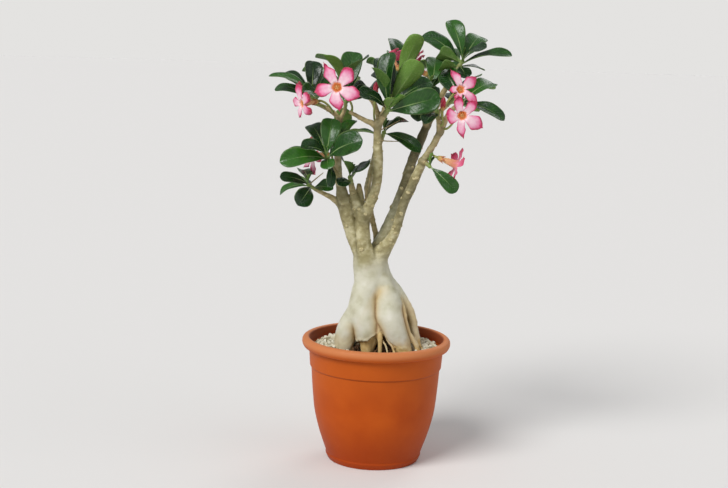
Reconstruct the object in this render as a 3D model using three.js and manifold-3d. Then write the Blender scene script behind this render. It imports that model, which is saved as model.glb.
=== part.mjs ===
// A desert rose (adenium) in a round plastic pot: a swollen stem on thick roots,
// bare branches, rosettes of leathery leaves at the branch ends, and pink trumpet blooms.
// Millimetres, +Z up. The origin is the middle of the pot's foot, and the viewer stands at -Y.
import * as THREE from "three";
import { mergeVertices } from "three/addons/utils/BufferGeometryUtils.js";
import Module from "manifold-3d";

const wasm = await Module();
wasm.setup();

// Pot
const POT_RADIUS = 100; // the lip's widest circle
const POT_HEIGHT = 168;
const FOOT_RADIUS = 61.4;
const BAND_TOP = 8; // the plain band round the foot
const COLLAR_BOTTOM = 127;
const LIP_BOTTOM = 153.7;
const WALL = 2.4;
const FLOOR_TOP = 6;
const DRAIN_HOLES = 5;
const DRAIN_RADIUS = 4.5;
const DRAIN_CIRCLE = 38;
const POT_SEGMENTS = 32;

// Filling
const SOIL_TOP = 149;
const GRAVEL_BED = 153.5;
const GRAVEL_RELIEF = 5; // how far the pebbles may be heaped above the bed
const HEAP = 18; // the width of one heap of pebbles
const BARE_SOIL = { x: -2, y: -33, width: 62, depth: 36 }; // the oval between the front roots
const GAP = 0.35; // between pieces that touch

// Plant
const ROOT_STEP = 26; // between a root's rings
const BRANCH_STEP = 25;
const TWIG_STEP = 16;
const BLADE = 0.8; // a leaf's thickness
const LEAF_ARCH = 0.12; // how far a leaf bows, as a share of its length
const LEAF_FOLD = 0.22; // how far its edges stand above its midrib, as a share of its half width
const TRUMPET = 30; // a bloom's length from calyx to mouth
const PETAL_REACH = 29; // from a bloom's axis to a petal's tip
const PETAL = 0.8; // a petal's thickness
const PETALS = 5;
const STALK_RADIUS = 1.4;
const BUD_LENGTH = 17;

const FINISH = {
  pot: { color: "#c2562a", roughness: 0.55 },
  soil: { color: "#3a2a1e", roughness: 0.95 },
  gravel: { color: "#cfc8b4", roughness: 0.9 },
  bark: { color: "#c9c2a2", roughness: 0.7 },
  leaf: { color: "#2f6b34", roughness: 0.35 },
  petal: { color: "#ee86ae", roughness: 0.5 },
  stalk: { color: "#9aa45a", roughness: 0.6 },
  bud: { color: "#cf3f5e", roughness: 0.5 },
};

// Roots and swollen stem, as routes of [x, y, z, radius].
const ROOTS = [
  // The neck and the core of the swollen stem.
  [[-12, 0, 281, 9], [-12, 0, 276, 16], [-12, 0, 267, 21.5], [-9, 0, 256, 24], [-4, 0, 236, 23.5],
    [0, 2, 205, 24], [1, 3, 176, 22], [1, 3, 152, 12]],
  // The three lobes at the front, from left to right.
  [[-11, 0, 258, 12], [-15, -4, 230, 17], [-22, -8, 206, 17], [-32, -12, 190, 16], [-39, -16, 179, 14.2],
    [-42, -18, 162, 14.2], [-41, -20, 146, 12], [-39, -20, 126, 6]],
  [[-11, -2, 262, 13], [-15, -8, 232, 18.5], [-17, -14, 210, 19], [-16, -21, 194, 18], [-12, -25, 180, 17.5],
    [-12, -26, 171, 15.5], [-12, -27, 162, 12.5], [-12, -27, 142, 9.5], [-10, -26, 126, 5]],
  [[2, -2, 252, 8], [10, -13, 236, 11], [14, -19, 215, 17.5], [16, -24, 200, 18.5], [20, -28, 190, 17.3],
    [27, -31, 175, 15], [34, -32, 161, 12.5], [39, -32, 142, 10], [41, -31, 126, 5]],
  // The slender roots at the right and the one that hangs between the lobes.
  [[6, 4, 246, 10], [22, 7, 231, 9.2], [37, 5, 213, 6.8], [47, 2, 195, 5.7], [51, -4, 179, 5.2],
    [55, -10, 162, 4.6], [58, -14, 142, 4]],
  [[22, -8, 228, 6], [34, -18, 208, 4.2], [38, -25, 191, 3.8], [43, -27, 178, 3.6], [52, -28, 165, 3.5],
    [58, -28, 148, 3]],
  [[2, -30, 188, 5], [4.5, -38, 176, 4], [5, -40, 163, 3.2], [6, -41, 144, 2.6]],
  // The lobes at the back.
  [[-12, 0, 258, 12], [-16, 10, 228, 17], [-22, 22, 203, 17], [-34, 33, 176, 15], [-40, 40, 152, 12],
    [-43, 42, 126, 6]],
  [[-2, 2, 254, 12], [8, 14, 228, 16], [20, 26, 203, 16], [31, 37, 175, 13.5], [36, 42, 150, 11],
    [38, 44, 126, 5]],
  [[-6, 4, 250, 12], [-5, 22, 222, 14], [-4, 36, 196, 13.5], [-4, 46, 172, 11], [-5, 52, 150, 9],
    [-6, 54, 126, 5]],
  [[4, 4, 244, 10], [22, 10, 218, 11], [36, 13, 194, 10], [45, 18, 170, 8.5], [50, 22, 148, 7.5],
    [52, 24, 126, 4]],
];

// Branches, each sunk in the one that it grew from.
const BRANCHES = [
  // The left branch and its riser.
  [[-16, -2, 274, 16], [-28, -2, 293, 11.5], [-37, -4, 314, 10.2], [-44, -7, 333, 9.5], [-49, -8, 352, 9],
    [-52, -9, 366, 7]],
  [[-50, -6, 356, 6.5], [-56, 1, 380, 5], [-58, 4, 404, 5], [-58, 5, 424, 4.4], [-56, 6, 443, 3.4],
    [-56, 6, 452, 3.2]],
  // The centre branch, its riser and the short limb beside it.
  [[-14, -9, 272, 14], [-20, -13, 294, 9.6], [-22, -15, 317, 8.8], [-23, -15, 337, 9]],
  [[-22, -15, 326, 8], [-15, -19, 346, 7], [-8, -22, 365, 6.4], [-5, -25, 388, 6.2], [-5, -27, 412, 6.6],
    [-6, -28, 428, 5.7], [-7, -28, 443, 4.8], [-7, -28, 457, 4.6]],
  [[-25, -11, 338, 6.5], [-27, -8, 354, 5.6], [-28, -6, 362, 4.8], [-29, -4, 370, 3.4], [-29, -3, 374, 2]],
  // The knobby twig that reaches from the centre riser to the left.
  [[-8, -28, 450, 4.4], [-15, -28, 456, 3.6], [-22, -28, 458, 3.2], [-30, -27, 462, 2.9],
    [-38, -26, 466, 2.6], [-44, -25, 469, 2.4]],
  // The two right branches.
  [[-6, 5, 270, 15.5], [3, 8, 294, 10], [12, 10, 315, 8.8], [18, 12, 331, 8.2], [30, 15, 365, 7.2],
    [41, 18, 405, 6.4], [51, 19, 432, 6], [59, 20, 453, 5.2]],
  [[-3, -4, 274, 14.5], [7, -8, 288, 10], [14, -10, 299, 7.6], [20.5, -12, 313, 6.4], [24.5, -13, 328, 5.9],
    [31, -16, 352, 6.2], [39, -17, 371, 6.3], [48, -18, 393, 5.8], [57, -19, 412, 4.9], [67, -20, 430, 4.4],
    [75, -21, 447, 4.6]],
  // The rear branch, which shows in the fork.
  [[-8, 6, 268, 11], [-4, 11, 285, 5.6], [-4, 14, 299, 3.8], [-11, 20, 325, 3.9], [-16, 25, 347, 4.2],
    [-18, 29, 365, 4.4], [-15, 33, 381, 4.3], [-11, 39, 398, 4.3], [-7, 47, 418, 4.3], [-7, 54, 444, 4.2]],
];

// Twigs, each of which ends in a green shoot with a rosette of leaves. A leaf is its bearing and its rise
// in degrees, its length, its width, how far its upper side turns to the viewer, and where on the shoot
// it grows, from 0 at the shoot's foot to 1 at its tip. A bearing of -90 points at the viewer.
const ROSETTES = {
  far_left: {
    twig: [[-56, 6, 444, 3.2], [-57, 6, 456, 3.2], [-66, 4, 466, 3.2], [-76, 1, 472, 3], [-86, -2, 477, 2.8],
      [-95, -2, 486, 2.6]],
    shoot: 14,
    leaves: [
      [-168, 24, 62, 18, 31, 0.3], [162, 10, 52, 17, 40, 0.25], [148, 34, 53, 20, 30, 0.8],
      [90, 67, 50, 24, 10, 1], [70, 40, 56, 26, 35, 0.6], [-103, 12, 43, 22, 52, 0.2],
      [110, 10, 58, 23, -25, 0.2],
    ],
  },
  lower_left: {
    twig: [[-49, -9, 356, 6.5], [-53, -11, 372, 5], [-60, -16, 387, 4], [-65, -22, 397, 3.6],
      [-72, -31, 410, 2.8]],
    shoot: 16,
    leaves: [
      [-152, -5, 66, 27, 50, 0.5], [-136, 17, 46, 24, 40, 0.9], [71, 70, 52, 27, 20, 1],
      [-30, 25, 60, 36, 60, 0.75], [120, 40, 60, 24, 20, 0.8], [-80, -24, 32, 20, 20, 0.6],
      [40, 45, 66, 28, 10, 0.5], [-70, -62, 42, 13, 0, 0.15], [178, 1, 56, 23, 29, 0.35],
    ],
  },
  lowest_left: {
    twig: [[-48, -8, 342, 6], [-63, -10, 354, 3.6], [-77, -14, 361, 2.8], [-96, -20, 372, 2.4]],
    shoot: 14,
    leaves: [
      [-145, 15, 44, 18, 55, 0.8], [105, 24, 39, 21, -4, 1], [155, -20, 44, 15, 40, 0.5],
      [-105, -30, 46, 25, 45, 0.6], [-25, -5, 38, 20, 45, 0.2], [115, 0, 48, 20, -30, 0.3],
    ],
  },
  inner_left: {
    twig: [[-25, -13, 332, 8], [-31, -12, 348, 6.6], [-37, -12, 364, 4.4], [-41, -16, 384, 3]],
    shoot: 12,
    leaves: [
      [-56, 22, 46, 29, 44, 0.65], [-110, 40, 36, 22, 20, 1], [-115, -15, 34, 18, 30, 0.2],
      [60, 20, 50, 22, -20, 0.4],
    ],
  },
  upper_left: {
    twig: [[-56, 6, 446, 3.2], [-56, 5, 457, 2.8], [-51, 2, 469, 2.6], [-49, -6, 482, 2.5]],
    shoot: 14,
    leaves: [
      [-141, 57, 70, 23, -9, 0.8], [77, 63, 71, 29, 13, 0.85], [-50, 53, 73, 31, 28, 0.85],
      [62, 19, 57, 26, 41, 0.5], [-25, 24, 36, 22, 30, 0.3], [102, -48, 46, 24, -18, 0.2],
      [125, 20, 60, 24, -30, 0.4],
    ],
  },
  centre: {
    twig: [[-7, -28, 452, 4.8], [-1, -29, 462, 4], [7, -31, 475, 3.2]],
    shoot: 12,
    leaves: [
      [-18, 14, 70, 33, 85, 0.4], [-75, 25, 36, 22, 20, 0.6], [-150, 24, 50, 27, 45, 0.5],
      [22, 32, 68, 28, 42, 0.75], [-138, 60, 60, 24, -4, 0.85], [112, 61, 73, 30, 5, 0.9],
      [-18, 57, 73, 29, -62, 1], [62, 86, 72, 27, -5, 1], [-30, 22, 32, 17, -40, 0.8],
    ],
  },
  centre_rear: {
    twig: [[-6, -27, 448, 4.4], [0, -16, 468, 3.6], [9, -6, 488, 3.1], [17, 0, 504, 2.7]],
    shoot: 14,
    leaves: [
      [-14, 67, 72, 25, -66, 1], [119, 17, 60, 24, 39, 0.65], [134, -5, 51, 23, 42, 0.4],
      [55, 3, 53, 24, -30, 0.35],
    ],
  },
  rear_low: {
    twig: [[-9, 42, 405, 3.6], [-3, 43, 424, 3.1], [2, 40, 440, 2.8]],
    shoot: 12,
    leaves: [
      [-36, -21, 65, 19, 45, 0.7], [30, 20, 40, 15, 20, 0.8], [67, 18, 48, 20, -21, 0.9],
      [165, -6, 55, 20, 0, 0.25],
    ],
  },
  right_rear: {
    twig: [[58, 19, 449, 4.6], [55, 9, 468, 3.6], [62, 8, 501, 2.8]],
    shoot: 26,
    leaves: [
      [80, 50, 52, 27, 15, 1], [55, 25, 50, 24, 20, 0.9], [-139, -22, 43, 22, 47, 0.95],
      [-145, -65, 48, 22, 20, 0.1], [93, 9, 57, 24, -49, 0.55],
    ],
  },
  right_top: {
    twig: [[59, 20, 452, 4.7], [71, 18, 479, 4], [85, 14, 509, 3.4], [102, 10, 538, 2.8]],
    shoot: 14,
    leaves: [
      [155, 30, 66, 28, 40, 0.8], [142, 66, 57, 24, 40, 1], [50, 40, 50, 30, 30, 0.9],
      [-45, 24, 44, 26, 30, 0.6], [-21, 7, 67, 23, 22, 0.4], [26, -20, 36, 13, 20, 0.2],
      [-79, -48, 30, 20, 0, 0.25], [-150, 14, 38, 22, -60, 0.7], [-157, -17, 34, 20, -50, 0.2],
      [90, 15, 58, 25, -30, 0.5],
    ],
  },
  right_front: {
    twig: [[75, -21, 445, 4.5], [80, -22, 460, 3.8], [88, -20, 474, 3.2], [103, -12, 485, 2.7]],
    shoot: 14,
    leaves: [
      [34, 26, 56, 30, 25, 0.9], [-28, -19, 63, 21, 30, 0.3], [50, -12, 44, 20, 30, 0.2],
      [128, 47, 52, 28, 49, 1], [80, 10, 60, 26, -20, 0.6],
    ],
  },
  right_inner: {
    twig: [[74, -21, 444, 4.2], [72, -26, 460, 3.3], [69, -29, 474, 2.8]],
    shoot: 12,
    leaves: [[-115, -22, 42, 20, 20, 0.5], [105, 40, 44, 20, 10, 1]],
  },
  rear_centre: {
    twig: [[-7, 53, 438, 4], [2, 60, 470, 3.8], [12, 61, 494, 3.2], [20, 60, 512, 2.8]],
    shoot: 14,
    leaves: [
      [20, 15, 58, 25, -25, 0.3], [65, 10, 60, 26, -35, 0.15], [100, 30, 64, 27, -20, 0.5],
      [146, 19, 58, 25, -23, 0.35], [64, 49, 60, 24, 10, 0.8], [120, 65, 58, 26, 0, 1],
    ],
  },
  rear_left: {
    twig: [[-7, 53, 440, 3.9], [-8, 60, 466, 3.6], [-26, 62, 491, 3.2], [-54, 54, 502, 2.8]],
    shoot: 14,
    leaves: [
      [175, 15, 60, 25, -20, 0.6], [143, 33, 62, 27, -20, 0.75], [105, 15, 60, 26, -35, 0.4],
      [70, 40, 58, 25, -15, 0.9], [150, -15, 52, 23, -30, 0.15], [74, -4, 53, 22, -14, 0.2],
    ],
  },
  rear_right: {
    twig: [[52, 19, 436, 5.2], [63, 38, 457, 3.9], [80, 53, 472, 3.3], [95, 60, 486, 2.8]],
    shoot: 14,
    leaves: [
      [10, 15, 60, 26, -15, 0.5], [45, 30, 62, 27, -25, 0.7], [81, 5, 60, 25, -41, 0.4],
      [120, 25, 60, 25, -25, 0.6], [90, 60, 58, 26, -10, 0.9], [40, -20, 52, 23, -30, 0.15],
    ],
  },
  spur: {
    twig: [[52, -19, 407, 5], [58, -25, 405, 3], [63, -29, 401, 2.4]],
    shoot: 8,
    leaves: [[-20, -39, 48, 20, 62, 0.7]],
  },
};

// Blooms: the middle of the mouth, the bearing and the rise that it faces, how far its petals are turned
// round it, its size, and the point on a branch that its stalk grows from.
const BLOOMS = [
  { mouth: [-60, -54, 501], faces: [-92, 3], turn: 46, size: 1, from: [-42, -26, 468] },
  { mouth: [98, -50, 503], faces: [-76, 12], turn: 35, size: 0.82, from: [80, -24, 461] },
  { mouth: [100, -66, 470], faces: [-88, -8], turn: 46, size: 0.93, from: [76, -24, 452] },
  { mouth: [98, -24, 404], faces: [10, -20], turn: 20, size: 0.86, from: [60, -19, 419] },
  { mouth: [-106, -38, 478], faces: [-147, -8], turn: 30, size: 0.8, from: [-68, 3, 466] },
  { mouth: [7, 38, 541], faces: [140, 50], turn: 60, size: 0.75, from: [6, 60, 480] },
  { mouth: [37, 31, 533], faces: [165, 37], turn: 10, size: 0.84, from: [56, 9, 473] },
  { mouth: [-93, -5, 408], faces: [-148, -5], turn: 75, size: 0.85, from: [-56, 4, 394] },
  { mouth: [46, 98, 492], faces: [75, 8], turn: 50, size: 0.95, from: [2, 62, 470] },
];
const BUDS = [
  { foot: [-11, -20, 492], faces: [-80, 78], from: [-6, -29, 458] },
  { foot: [76, -36, 476], faces: [-70, 80], from: [71, -26, 455] },
  { foot: [-108, -24, 491], faces: [-100, 70], from: [-80, 0, 473] },
];

const rad = THREE.MathUtils.degToRad;
const vec = (x, y, z) => new THREE.Vector3(x, y, z);
const UP = vec(0, 0, 1);

// The unit vector with a bearing and a rise in degrees.
function heading(bearing, rise) {
  const level = Math.cos(rad(rise));
  return vec(level * Math.cos(rad(bearing)), level * Math.sin(rad(bearing)), Math.sin(rad(rise)));
}

// A repeatable draw from 0 to 1.
function dice(seed) {
  let state = seed;
  return () => {
    state = (Math.imul(state, 1664525) + 1013904223) >>> 0;
    return state / 2 ** 32;
  };
}

// Solids and meshes

function solidOf(geometry) {
  const bare = new THREE.BufferGeometry();
  bare.setAttribute("position", geometry.getAttribute("position"));
  bare.setIndex(geometry.index);
  const merged = mergeVertices(bare, 1e-4);
  const vertProperties = new Float32Array(merged.attributes.position.array);
  const triVerts = new Uint32Array(merged.index.array);
  const made = new wasm.Manifold(new wasm.Mesh({ numProp: 3, vertProperties, triVerts }));
  if (made.volume() > 0) return made;
  for (let i = 0; i < triVerts.length; i += 3) triVerts.subarray(i, i + 3).reverse();
  return new wasm.Manifold(new wasm.Mesh({ numProp: 3, vertProperties, triVerts }));
}

function meshOf(name, solid, finish) {
  const { vertProperties, triVerts } = solid.getMesh();
  const geometry = new THREE.BufferGeometry();
  geometry.setAttribute("position", new THREE.BufferAttribute(vertProperties, 3));
  geometry.setIndex(new THREE.BufferAttribute(triVerts, 1));
  geometry.computeVertexNormals();
  const mesh = new THREE.Mesh(geometry, new THREE.MeshStandardMaterial({ ...FINISH[finish], metalness: 0 }));
  mesh.name = name;
  return mesh;
}

const joined = (solids) => solids.reduce((whole, next) => whole.add(next));

// The largest body of a solid, without the loose scraps that a cut leaves.
const largest = (solid) => solid.decompose().reduce((a, b) => (b.volume() > a.volume() ? b : a));

function skinOf(points, faces) {
  const geometry = new THREE.BufferGeometry().setFromPoints(points);
  geometry.setIndex(faces.flat());
  return solidOf(geometry);
}

// A closed skin over rings with the same count of points, closed on a point at each end. From the band
// `turned` on, each quad is split along its other diagonal, so that both faces of a petal split alike.
function loft(rings, start, end, turned = Infinity) {
  const n = rings[0].length;
  const top = (rings.length - 1) * n;
  const foot = rings.length * n;
  const faces = [];
  for (let i = 0; i < n; i++) {
    const j = (i + 1) % n;
    faces.push([foot, j, i], [foot + 1, top + i, top + j]);
    for (let k = 0; k + 1 < rings.length; k++) {
      const [a, b, c, d] = [k * n + i, k * n + j, (k + 1) * n + j, (k + 1) * n + i];
      if (k < turned) faces.push([a, b, c], [a, c, d]);
      else faces.push([a, b, d], [b, c, d]);
    }
  }
  return skinOf([...rings.flat(), start, end], faces);
}

// A thin closed sheet over rows of points, with half its thickness on each side along `normal`.
function sheet(rows, normal, thickness) {
  const n = rows[0].length;
  const flat = rows.flat();
  const above = flat.map((p) => p.clone().addScaledVector(normal, thickness / 2));
  const below = flat.map((p) => p.clone().addScaledVector(normal, -thickness / 2));
  const under = flat.length;
  const faces = [];
  for (let k = 0; k + 1 < rows.length; k++) {
    for (let i = 0; i + 1 < n; i++) {
      const [a, b, c, d] = [k * n + i, k * n + i + 1, (k + 1) * n + i + 1, (k + 1) * n + i];
      faces.push([a, b, c], [a, c, d]);
      faces.push([under + c, under + b, under + a], [under + d, under + c, under + a]);
    }
  }
  const last = (rows.length - 1) * n;
  const rim = [
    ...rows[0].map((_, i) => i),
    ...rows.slice(1).map((_, k) => (k + 1) * n + n - 1),
    ...rows[0].slice(1).map((_, i) => last + n - 2 - i),
    ...rows.slice(2).map((_, k) => last - (k + 1) * n),
  ];
  rim.forEach((a, k) => {
    const b = rim[(k + 1) % rim.length];
    faces.push([b, a, under + a], [b, under + a, under + b]);
  });
  return skinOf([...above, ...below], faces);
}

// A tapered limb along a route of [x, y, z, radius] points.
class Limb {
  constructor(route, sides) {
    this.curve = new THREE.CatmullRomCurve3(route.map(([x, y, z]) => vec(x, y, z)), false, "centripetal");
    this.radii = route.map((point) => point[3]);
    this.sides = sides;
  }

  radiusAt(t) {
    const place = t * (this.radii.length - 1);
    const k = Math.min(Math.floor(place), this.radii.length - 2);
    return THREE.MathUtils.lerp(this.radii[k], this.radii[k + 1], place - k);
  }

  // The curve's parameter at a distance before its end.
  before(distance) {
    return this.curve.getUtoTmapping(1 - distance / this.curve.getLength());
  }

  // The stretch between two parameters, with a ring about every `step` along it.
  solid({ from = 0, to = 1, step = 12, grown = 0, tip = 0 }) {
    const bands = Math.max(2, Math.round((this.curve.getLength() * (to - from)) / step));
    const rings = [];
    let side = vec(1, 0.3, 0.1);
    for (let k = 0; k <= bands; k++) {
      const t = from + ((to - from) * k) / bands;
      const along = this.curve.getTangent(t);
      side = side.clone().projectOnPlane(along).normalize();
      const across = along.clone().cross(side);
      rings.push(ringOf(this.curve.getPoint(t), side, across, this.radiusAt(t) + grown, this.sides));
    }
    const end = this.curve.getPoint(to).addScaledVector(this.curve.getTangent(to), tip);
    return loft(rings, this.curve.getPoint(from), end);
  }

  // The place on the limb's middle line nearest to a point, and how far off it is.
  nearest(point) {
    const places = Array.from({ length: 101 }, (_, k) => {
      const t = k / 100;
      return { limb: this, t, away: this.curve.getPoint(t).distanceTo(point) };
    });
    return places.reduce((a, b) => (b.away < a.away ? b : a));
  }
}

function ringOf(centre, side, across, radius, count) {
  const points = [];
  for (let i = 0; i < count; i++) {
    const turn = (2 * Math.PI * i) / count;
    const [x, y] = [radius * Math.cos(turn), radius * Math.sin(turn)];
    points.push(centre.clone().addScaledVector(side, x).addScaledVector(across, y));
  }
  return points;
}

// Pot and filling

// The pot's outside from foot to lip, as [radius, height].
const POT_SIDE = [
  [FOOT_RADIUS, 0], [64.6, BAND_TOP], [64, BAND_TOP + 0.6], [75, 40], [81.6, 67], [84.8, 100],
  [86.8, COLLAR_BOTTOM], [88.4, COLLAR_BOTTOM + 1.4], [90.6, LIP_BOTTOM],
];
const LIP = [[96.6, LIP_BOTTOM], [POT_RADIUS, 160], [98.6, 165.4], [94, POT_HEIGHT]];

function insideRadius(height) {
  const next = Math.max(1, POT_SIDE.findIndex(([, z]) => z >= height));
  const [low, high] = [POT_SIDE[next - 1], POT_SIDE[next]];
  return THREE.MathUtils.mapLinear(height, low[1], high[1], low[0], high[0]) - WALL;
}

function turned(profile) {
  const lathe = new THREE.LatheGeometry(profile.map(([r, z]) => new THREE.Vector2(r, z)), POT_SEGMENTS);
  return solidOf(lathe.rotateX(Math.PI / 2));
}

function pot() {
  const inside = [LIP_BOTTOM, 67].map((z) => [insideRadius(z), z]);
  const floor = [[insideRadius(FLOOR_TOP) - 1, FLOOR_TOP], [0, FLOOR_TOP]];
  let body = turned([[0, 0], ...POT_SIDE, ...LIP, [89.4, 165.6], ...inside, ...floor]);
  for (let i = 0; i < DRAIN_HOLES; i++) {
    const drill = new THREE.CylinderGeometry(DRAIN_RADIUS, DRAIN_RADIUS, 4 * FLOOR_TOP, 7);
    drill.rotateX(Math.PI / 2).translate(DRAIN_CIRCLE, 0, 0).rotateZ((2 * Math.PI * i) / DRAIN_HOLES);
    body = body.subtract(solidOf(drill));
  }
  return body;
}

function soil(roots) {
  const low = FLOOR_TOP + GAP;
  const side = [67, SOIL_TOP].map((z) => [insideRadius(z) - 2 * GAP, z]);
  return largest(turned([[0, low], [insideRadius(low) - 2, low], ...side, [0, SOIL_TOP]]).subtract(roots));
}

// Pale pebbles as one bed whose top rises and falls from heap to heap.
function gravel(roots) {
  const draw = dice(41);
  const outer = insideRadius(SOIL_TOP) - 2 * GAP;
  const columns = Math.round((2 * Math.PI * outer) / HEAP);
  const bottom = SOIL_TOP + GAP;
  const ring = (radius, z, rough) => Array.from({ length: columns }, (_, i) => {
    const turn = (2 * Math.PI * (i + rough * (draw() - 0.5))) / columns;
    const r = radius + rough * (draw() - 0.5) * 0.5 * HEAP;
    return vec(r * Math.cos(turn), r * Math.sin(turn), z + rough * GRAVEL_RELIEF * draw());
  });
  const rings = [ring(outer, bottom, 0), ring(outer, GRAVEL_BED, 0)];
  for (let radius = outer - 0.7 * HEAP; radius > 3 * HEAP; radius -= 0.85 * HEAP) {
    rings.push(ring(radius, GRAVEL_BED, 0.8));
  }
  const bed = loft(rings, vec(0, 0, bottom), vec(0, 0, GRAVEL_BED));
  const hole = new THREE.CylinderGeometry(0.5, 0.5, POT_RADIUS, 10);
  hole.rotateX(Math.PI / 2).scale(BARE_SOIL.width, BARE_SOIL.depth, 1);
  hole.translate(BARE_SOIL.x, BARE_SOIL.y, SOIL_TOP);
  return largest(bed.subtract(solidOf(hole)).subtract(roots));
}

// Plant

const rootLimbs = ROOTS.map((route) => new Limb(route, route[1][3] > 10 ? 10 : 6));
const branchLimbs = BRANCHES.map((route) => new Limb(route, 8));
const twigLimbs = Object.fromEntries(
  Object.entries(ROSETTES).map(([name, { twig }]) => [name, new Limb(twig, 5)]),
);

function stemAndRoots() {
  const twigs = Object.entries(ROSETTES).map(([name, { shoot }]) => {
    const limb = twigLimbs[name];
    return limb.solid({ to: limb.before(shoot + GAP), step: TWIG_STEP });
  });
  return joined([
    ...rootLimbs.map((limb) => limb.solid({ step: ROOT_STEP })),
    ...branchLimbs.map((limb) => limb.solid({ step: BRANCH_STEP })),
    ...twigs,
  ]);
}

// The leaf's half width along its length, as shares of its length and of half its width.
const LEAF_OUTLINE = [[0, 0.08], [0.4, 0.66], [0.78, 1], [1, 0.2]];

function leaf(foot, tip, bearing, rise, width, turn) {
  const chord = tip.clone().sub(foot);
  const along = chord.clone().normalize();
  const facing = turn * (Math.cos(rad(bearing)) < 0 ? -1 : 1);
  const normal = heading(bearing + 180, 90 - rise).projectOnPlane(along).normalize();
  normal.applyAxisAngle(along, rad(facing));
  const side = along.clone().cross(normal);
  const rows = LEAF_OUTLINE.map(([share, spread]) => {
    const half = (spread * width) / 2;
    const bow = 4 * share * (1 - share) * LEAF_ARCH * chord.length();
    const rib = foot.clone().addScaledVector(chord, share).addScaledVector(normal, bow);
    const fold = normal.clone().multiplyScalar(LEAF_FOLD * half);
    const edge = (way) => rib.clone().addScaledVector(side, way * half).add(fold);
    return [edge(-1), rib, edge(1)];
  });
  return sheet(rows, normal, BLADE);
}

function rosette(name) {
  const { shoot, leaves } = ROSETTES[name];
  const limb = twigLimbs[name];
  const apex = limb.curve.getPoint(1);
  const parts = [limb.solid({ from: limb.before(shoot), step: 8, tip: 2 })];
  for (const [bearing, rise, length, width, turn, place] of leaves) {
    const foot = limb.curve.getPoint(limb.before((1 - place) * (shoot - 2.5)));
    const tip = apex.clone().addScaledVector(heading(bearing, rise), length);
    parts.push(leaf(foot, tip, bearing, rise, width, turn));
  }
  return joined(parts);
}

// Blooms and buds

// Axes across a bloom that faces a way: to the viewer's right, up, and the way that it faces.
function bloomAxes(faces) {
  const out = heading(...faces);
  const up = UP.clone().projectOnPlane(out).normalize();
  return { out, up, right: up.clone().cross(out) };
}

// Where a stalk leaves the branch or twig nearest to a point, just clear of its bark, and the way that it
// sets out for a target.
function seatOf(from, target) {
  const limbs = [...branchLimbs, ...Object.values(twigLimbs)];
  const places = limbs.map((limb) => limb.nearest(vec(...from)));
  const { limb, t } = places.reduce((a, b) => (b.away < a.away ? b : a));
  const middle = limb.curve.getPoint(t);
  const aim = target.clone().sub(middle).projectOnPlane(limb.curve.getTangent(t)).normalize();
  return { root: middle.addScaledVector(aim, limb.radiusAt(t) + GAP), aim };
}

// Where each column of a petal ends: at the notch, at its two shoulders and at its tip.
const PETAL_COLUMNS = [
  { turn: -36, reach: 0.42, lift: 0 },
  { turn: -24, reach: 0.87, lift: 1.5 },
  { turn: 0, reach: 1, lift: 0 },
  { turn: 24, reach: 0.87, lift: -0.8 },
];

function trumpet({ mouth, faces, turn, size }) {
  const { out, up, right } = bloomAxes(faces);
  const foot = vec(...mouth).addScaledVector(out, -TRUMPET * size);
  const columns = [];
  for (let petal = 0; petal < PETALS; petal++) {
    for (const column of PETAL_COLUMNS) {
      columns.push({ ...column, angle: rad(turn + (360 / PETALS) * petal + column.turn) });
    }
  }
  const point = (angle, radius, height) => foot.clone()
    .addScaledVector(right, size * radius * Math.cos(angle))
    .addScaledVector(up, size * radius * Math.sin(angle))
    .addScaledVector(out, size * height);
  const round = (radius, height) => columns.map(({ angle }) => point(angle, radius, height));
  const petalEdge = (above) => columns.map(({ angle, reach, lift }) => {
    return point(angle, PETAL_REACH * reach, TRUMPET + lift + above);
  });
  const tube = [round(2.3, 0), round(7.4, TRUMPET - 2)];
  const rings = [...tube, petalEdge(-PETAL / 2), petalEdge(PETAL / 2), round(6.4, TRUMPET - 1)];
  return loft(rings, foot, foot.clone().addScaledVector(out, 9.5 * size), 3);
}

// A stalk that ends in a cup with five teeth round the foot of a bloom or a bud.
function stalk(foot, faces, from, size) {
  const { out, up, right } = bloomAxes(faces);
  const { root, aim } = seatOf(from, foot);
  const cupFoot = foot.clone().addScaledVector(out, -3.5 * size);
  const reach = cupFoot.distanceTo(root) / 3;
  const curve = new THREE.CubicBezierCurve3(
    root, root.clone().addScaledVector(aim, reach), cupFoot.clone().addScaledVector(out, -reach), cupFoot,
  );
  const rings = [];
  let side = right;
  for (const t of [1, 0.5, 0]) {
    const along = curve.getTangent(t);
    side = side.clone().projectOnPlane(along).normalize();
    rings.unshift(ringOf(curve.getPoint(t), side, along.clone().cross(side), STALK_RADIUS, 2 * PETALS));
  }
  const cup = (radius, tooth, height, toothHeight) => Array.from({ length: 2 * PETALS }, (_, i) => {
    const angle = (Math.PI * i) / PETALS;
    const [r, z] = i % 2 ? [tooth, toothHeight] : [radius, height];
    return foot.clone()
      .addScaledVector(right, size * r * Math.cos(angle))
      .addScaledVector(up, size * r * Math.sin(angle))
      .addScaledVector(out, size * z);
  });
  rings.push(cup(3.4, 3.4, -1.8, -1.8), cup(4.8, 6.2, 3.4, 8));
  rings.push(cup(4.1, 5.6, 3.4, 7.8), cup(3, 3, -0.6, -0.6));
  return loft(rings, root, foot.clone().addScaledVector(out, -0.6 * size));
}

function bud(foot, faces) {
  const { out, up, right } = bloomAxes(faces);
  const ring = (radius, height) => ringOf(foot.clone().addScaledVector(out, height), right, up, radius, 7);
  const rings = [ring(1.5, 0), ring(3.4, 0.55 * BUD_LENGTH), ring(1.8, 0.88 * BUD_LENGTH)];
  return loft(rings, foot, foot.clone().addScaledVector(out, BUD_LENGTH));
}

// The whole plant

const desertRose = new THREE.Group();
const plant = stemAndRoots();
const buried = joined(rootLimbs.map((limb) => limb.solid({ step: ROOT_STEP, grown: GAP })));

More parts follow.
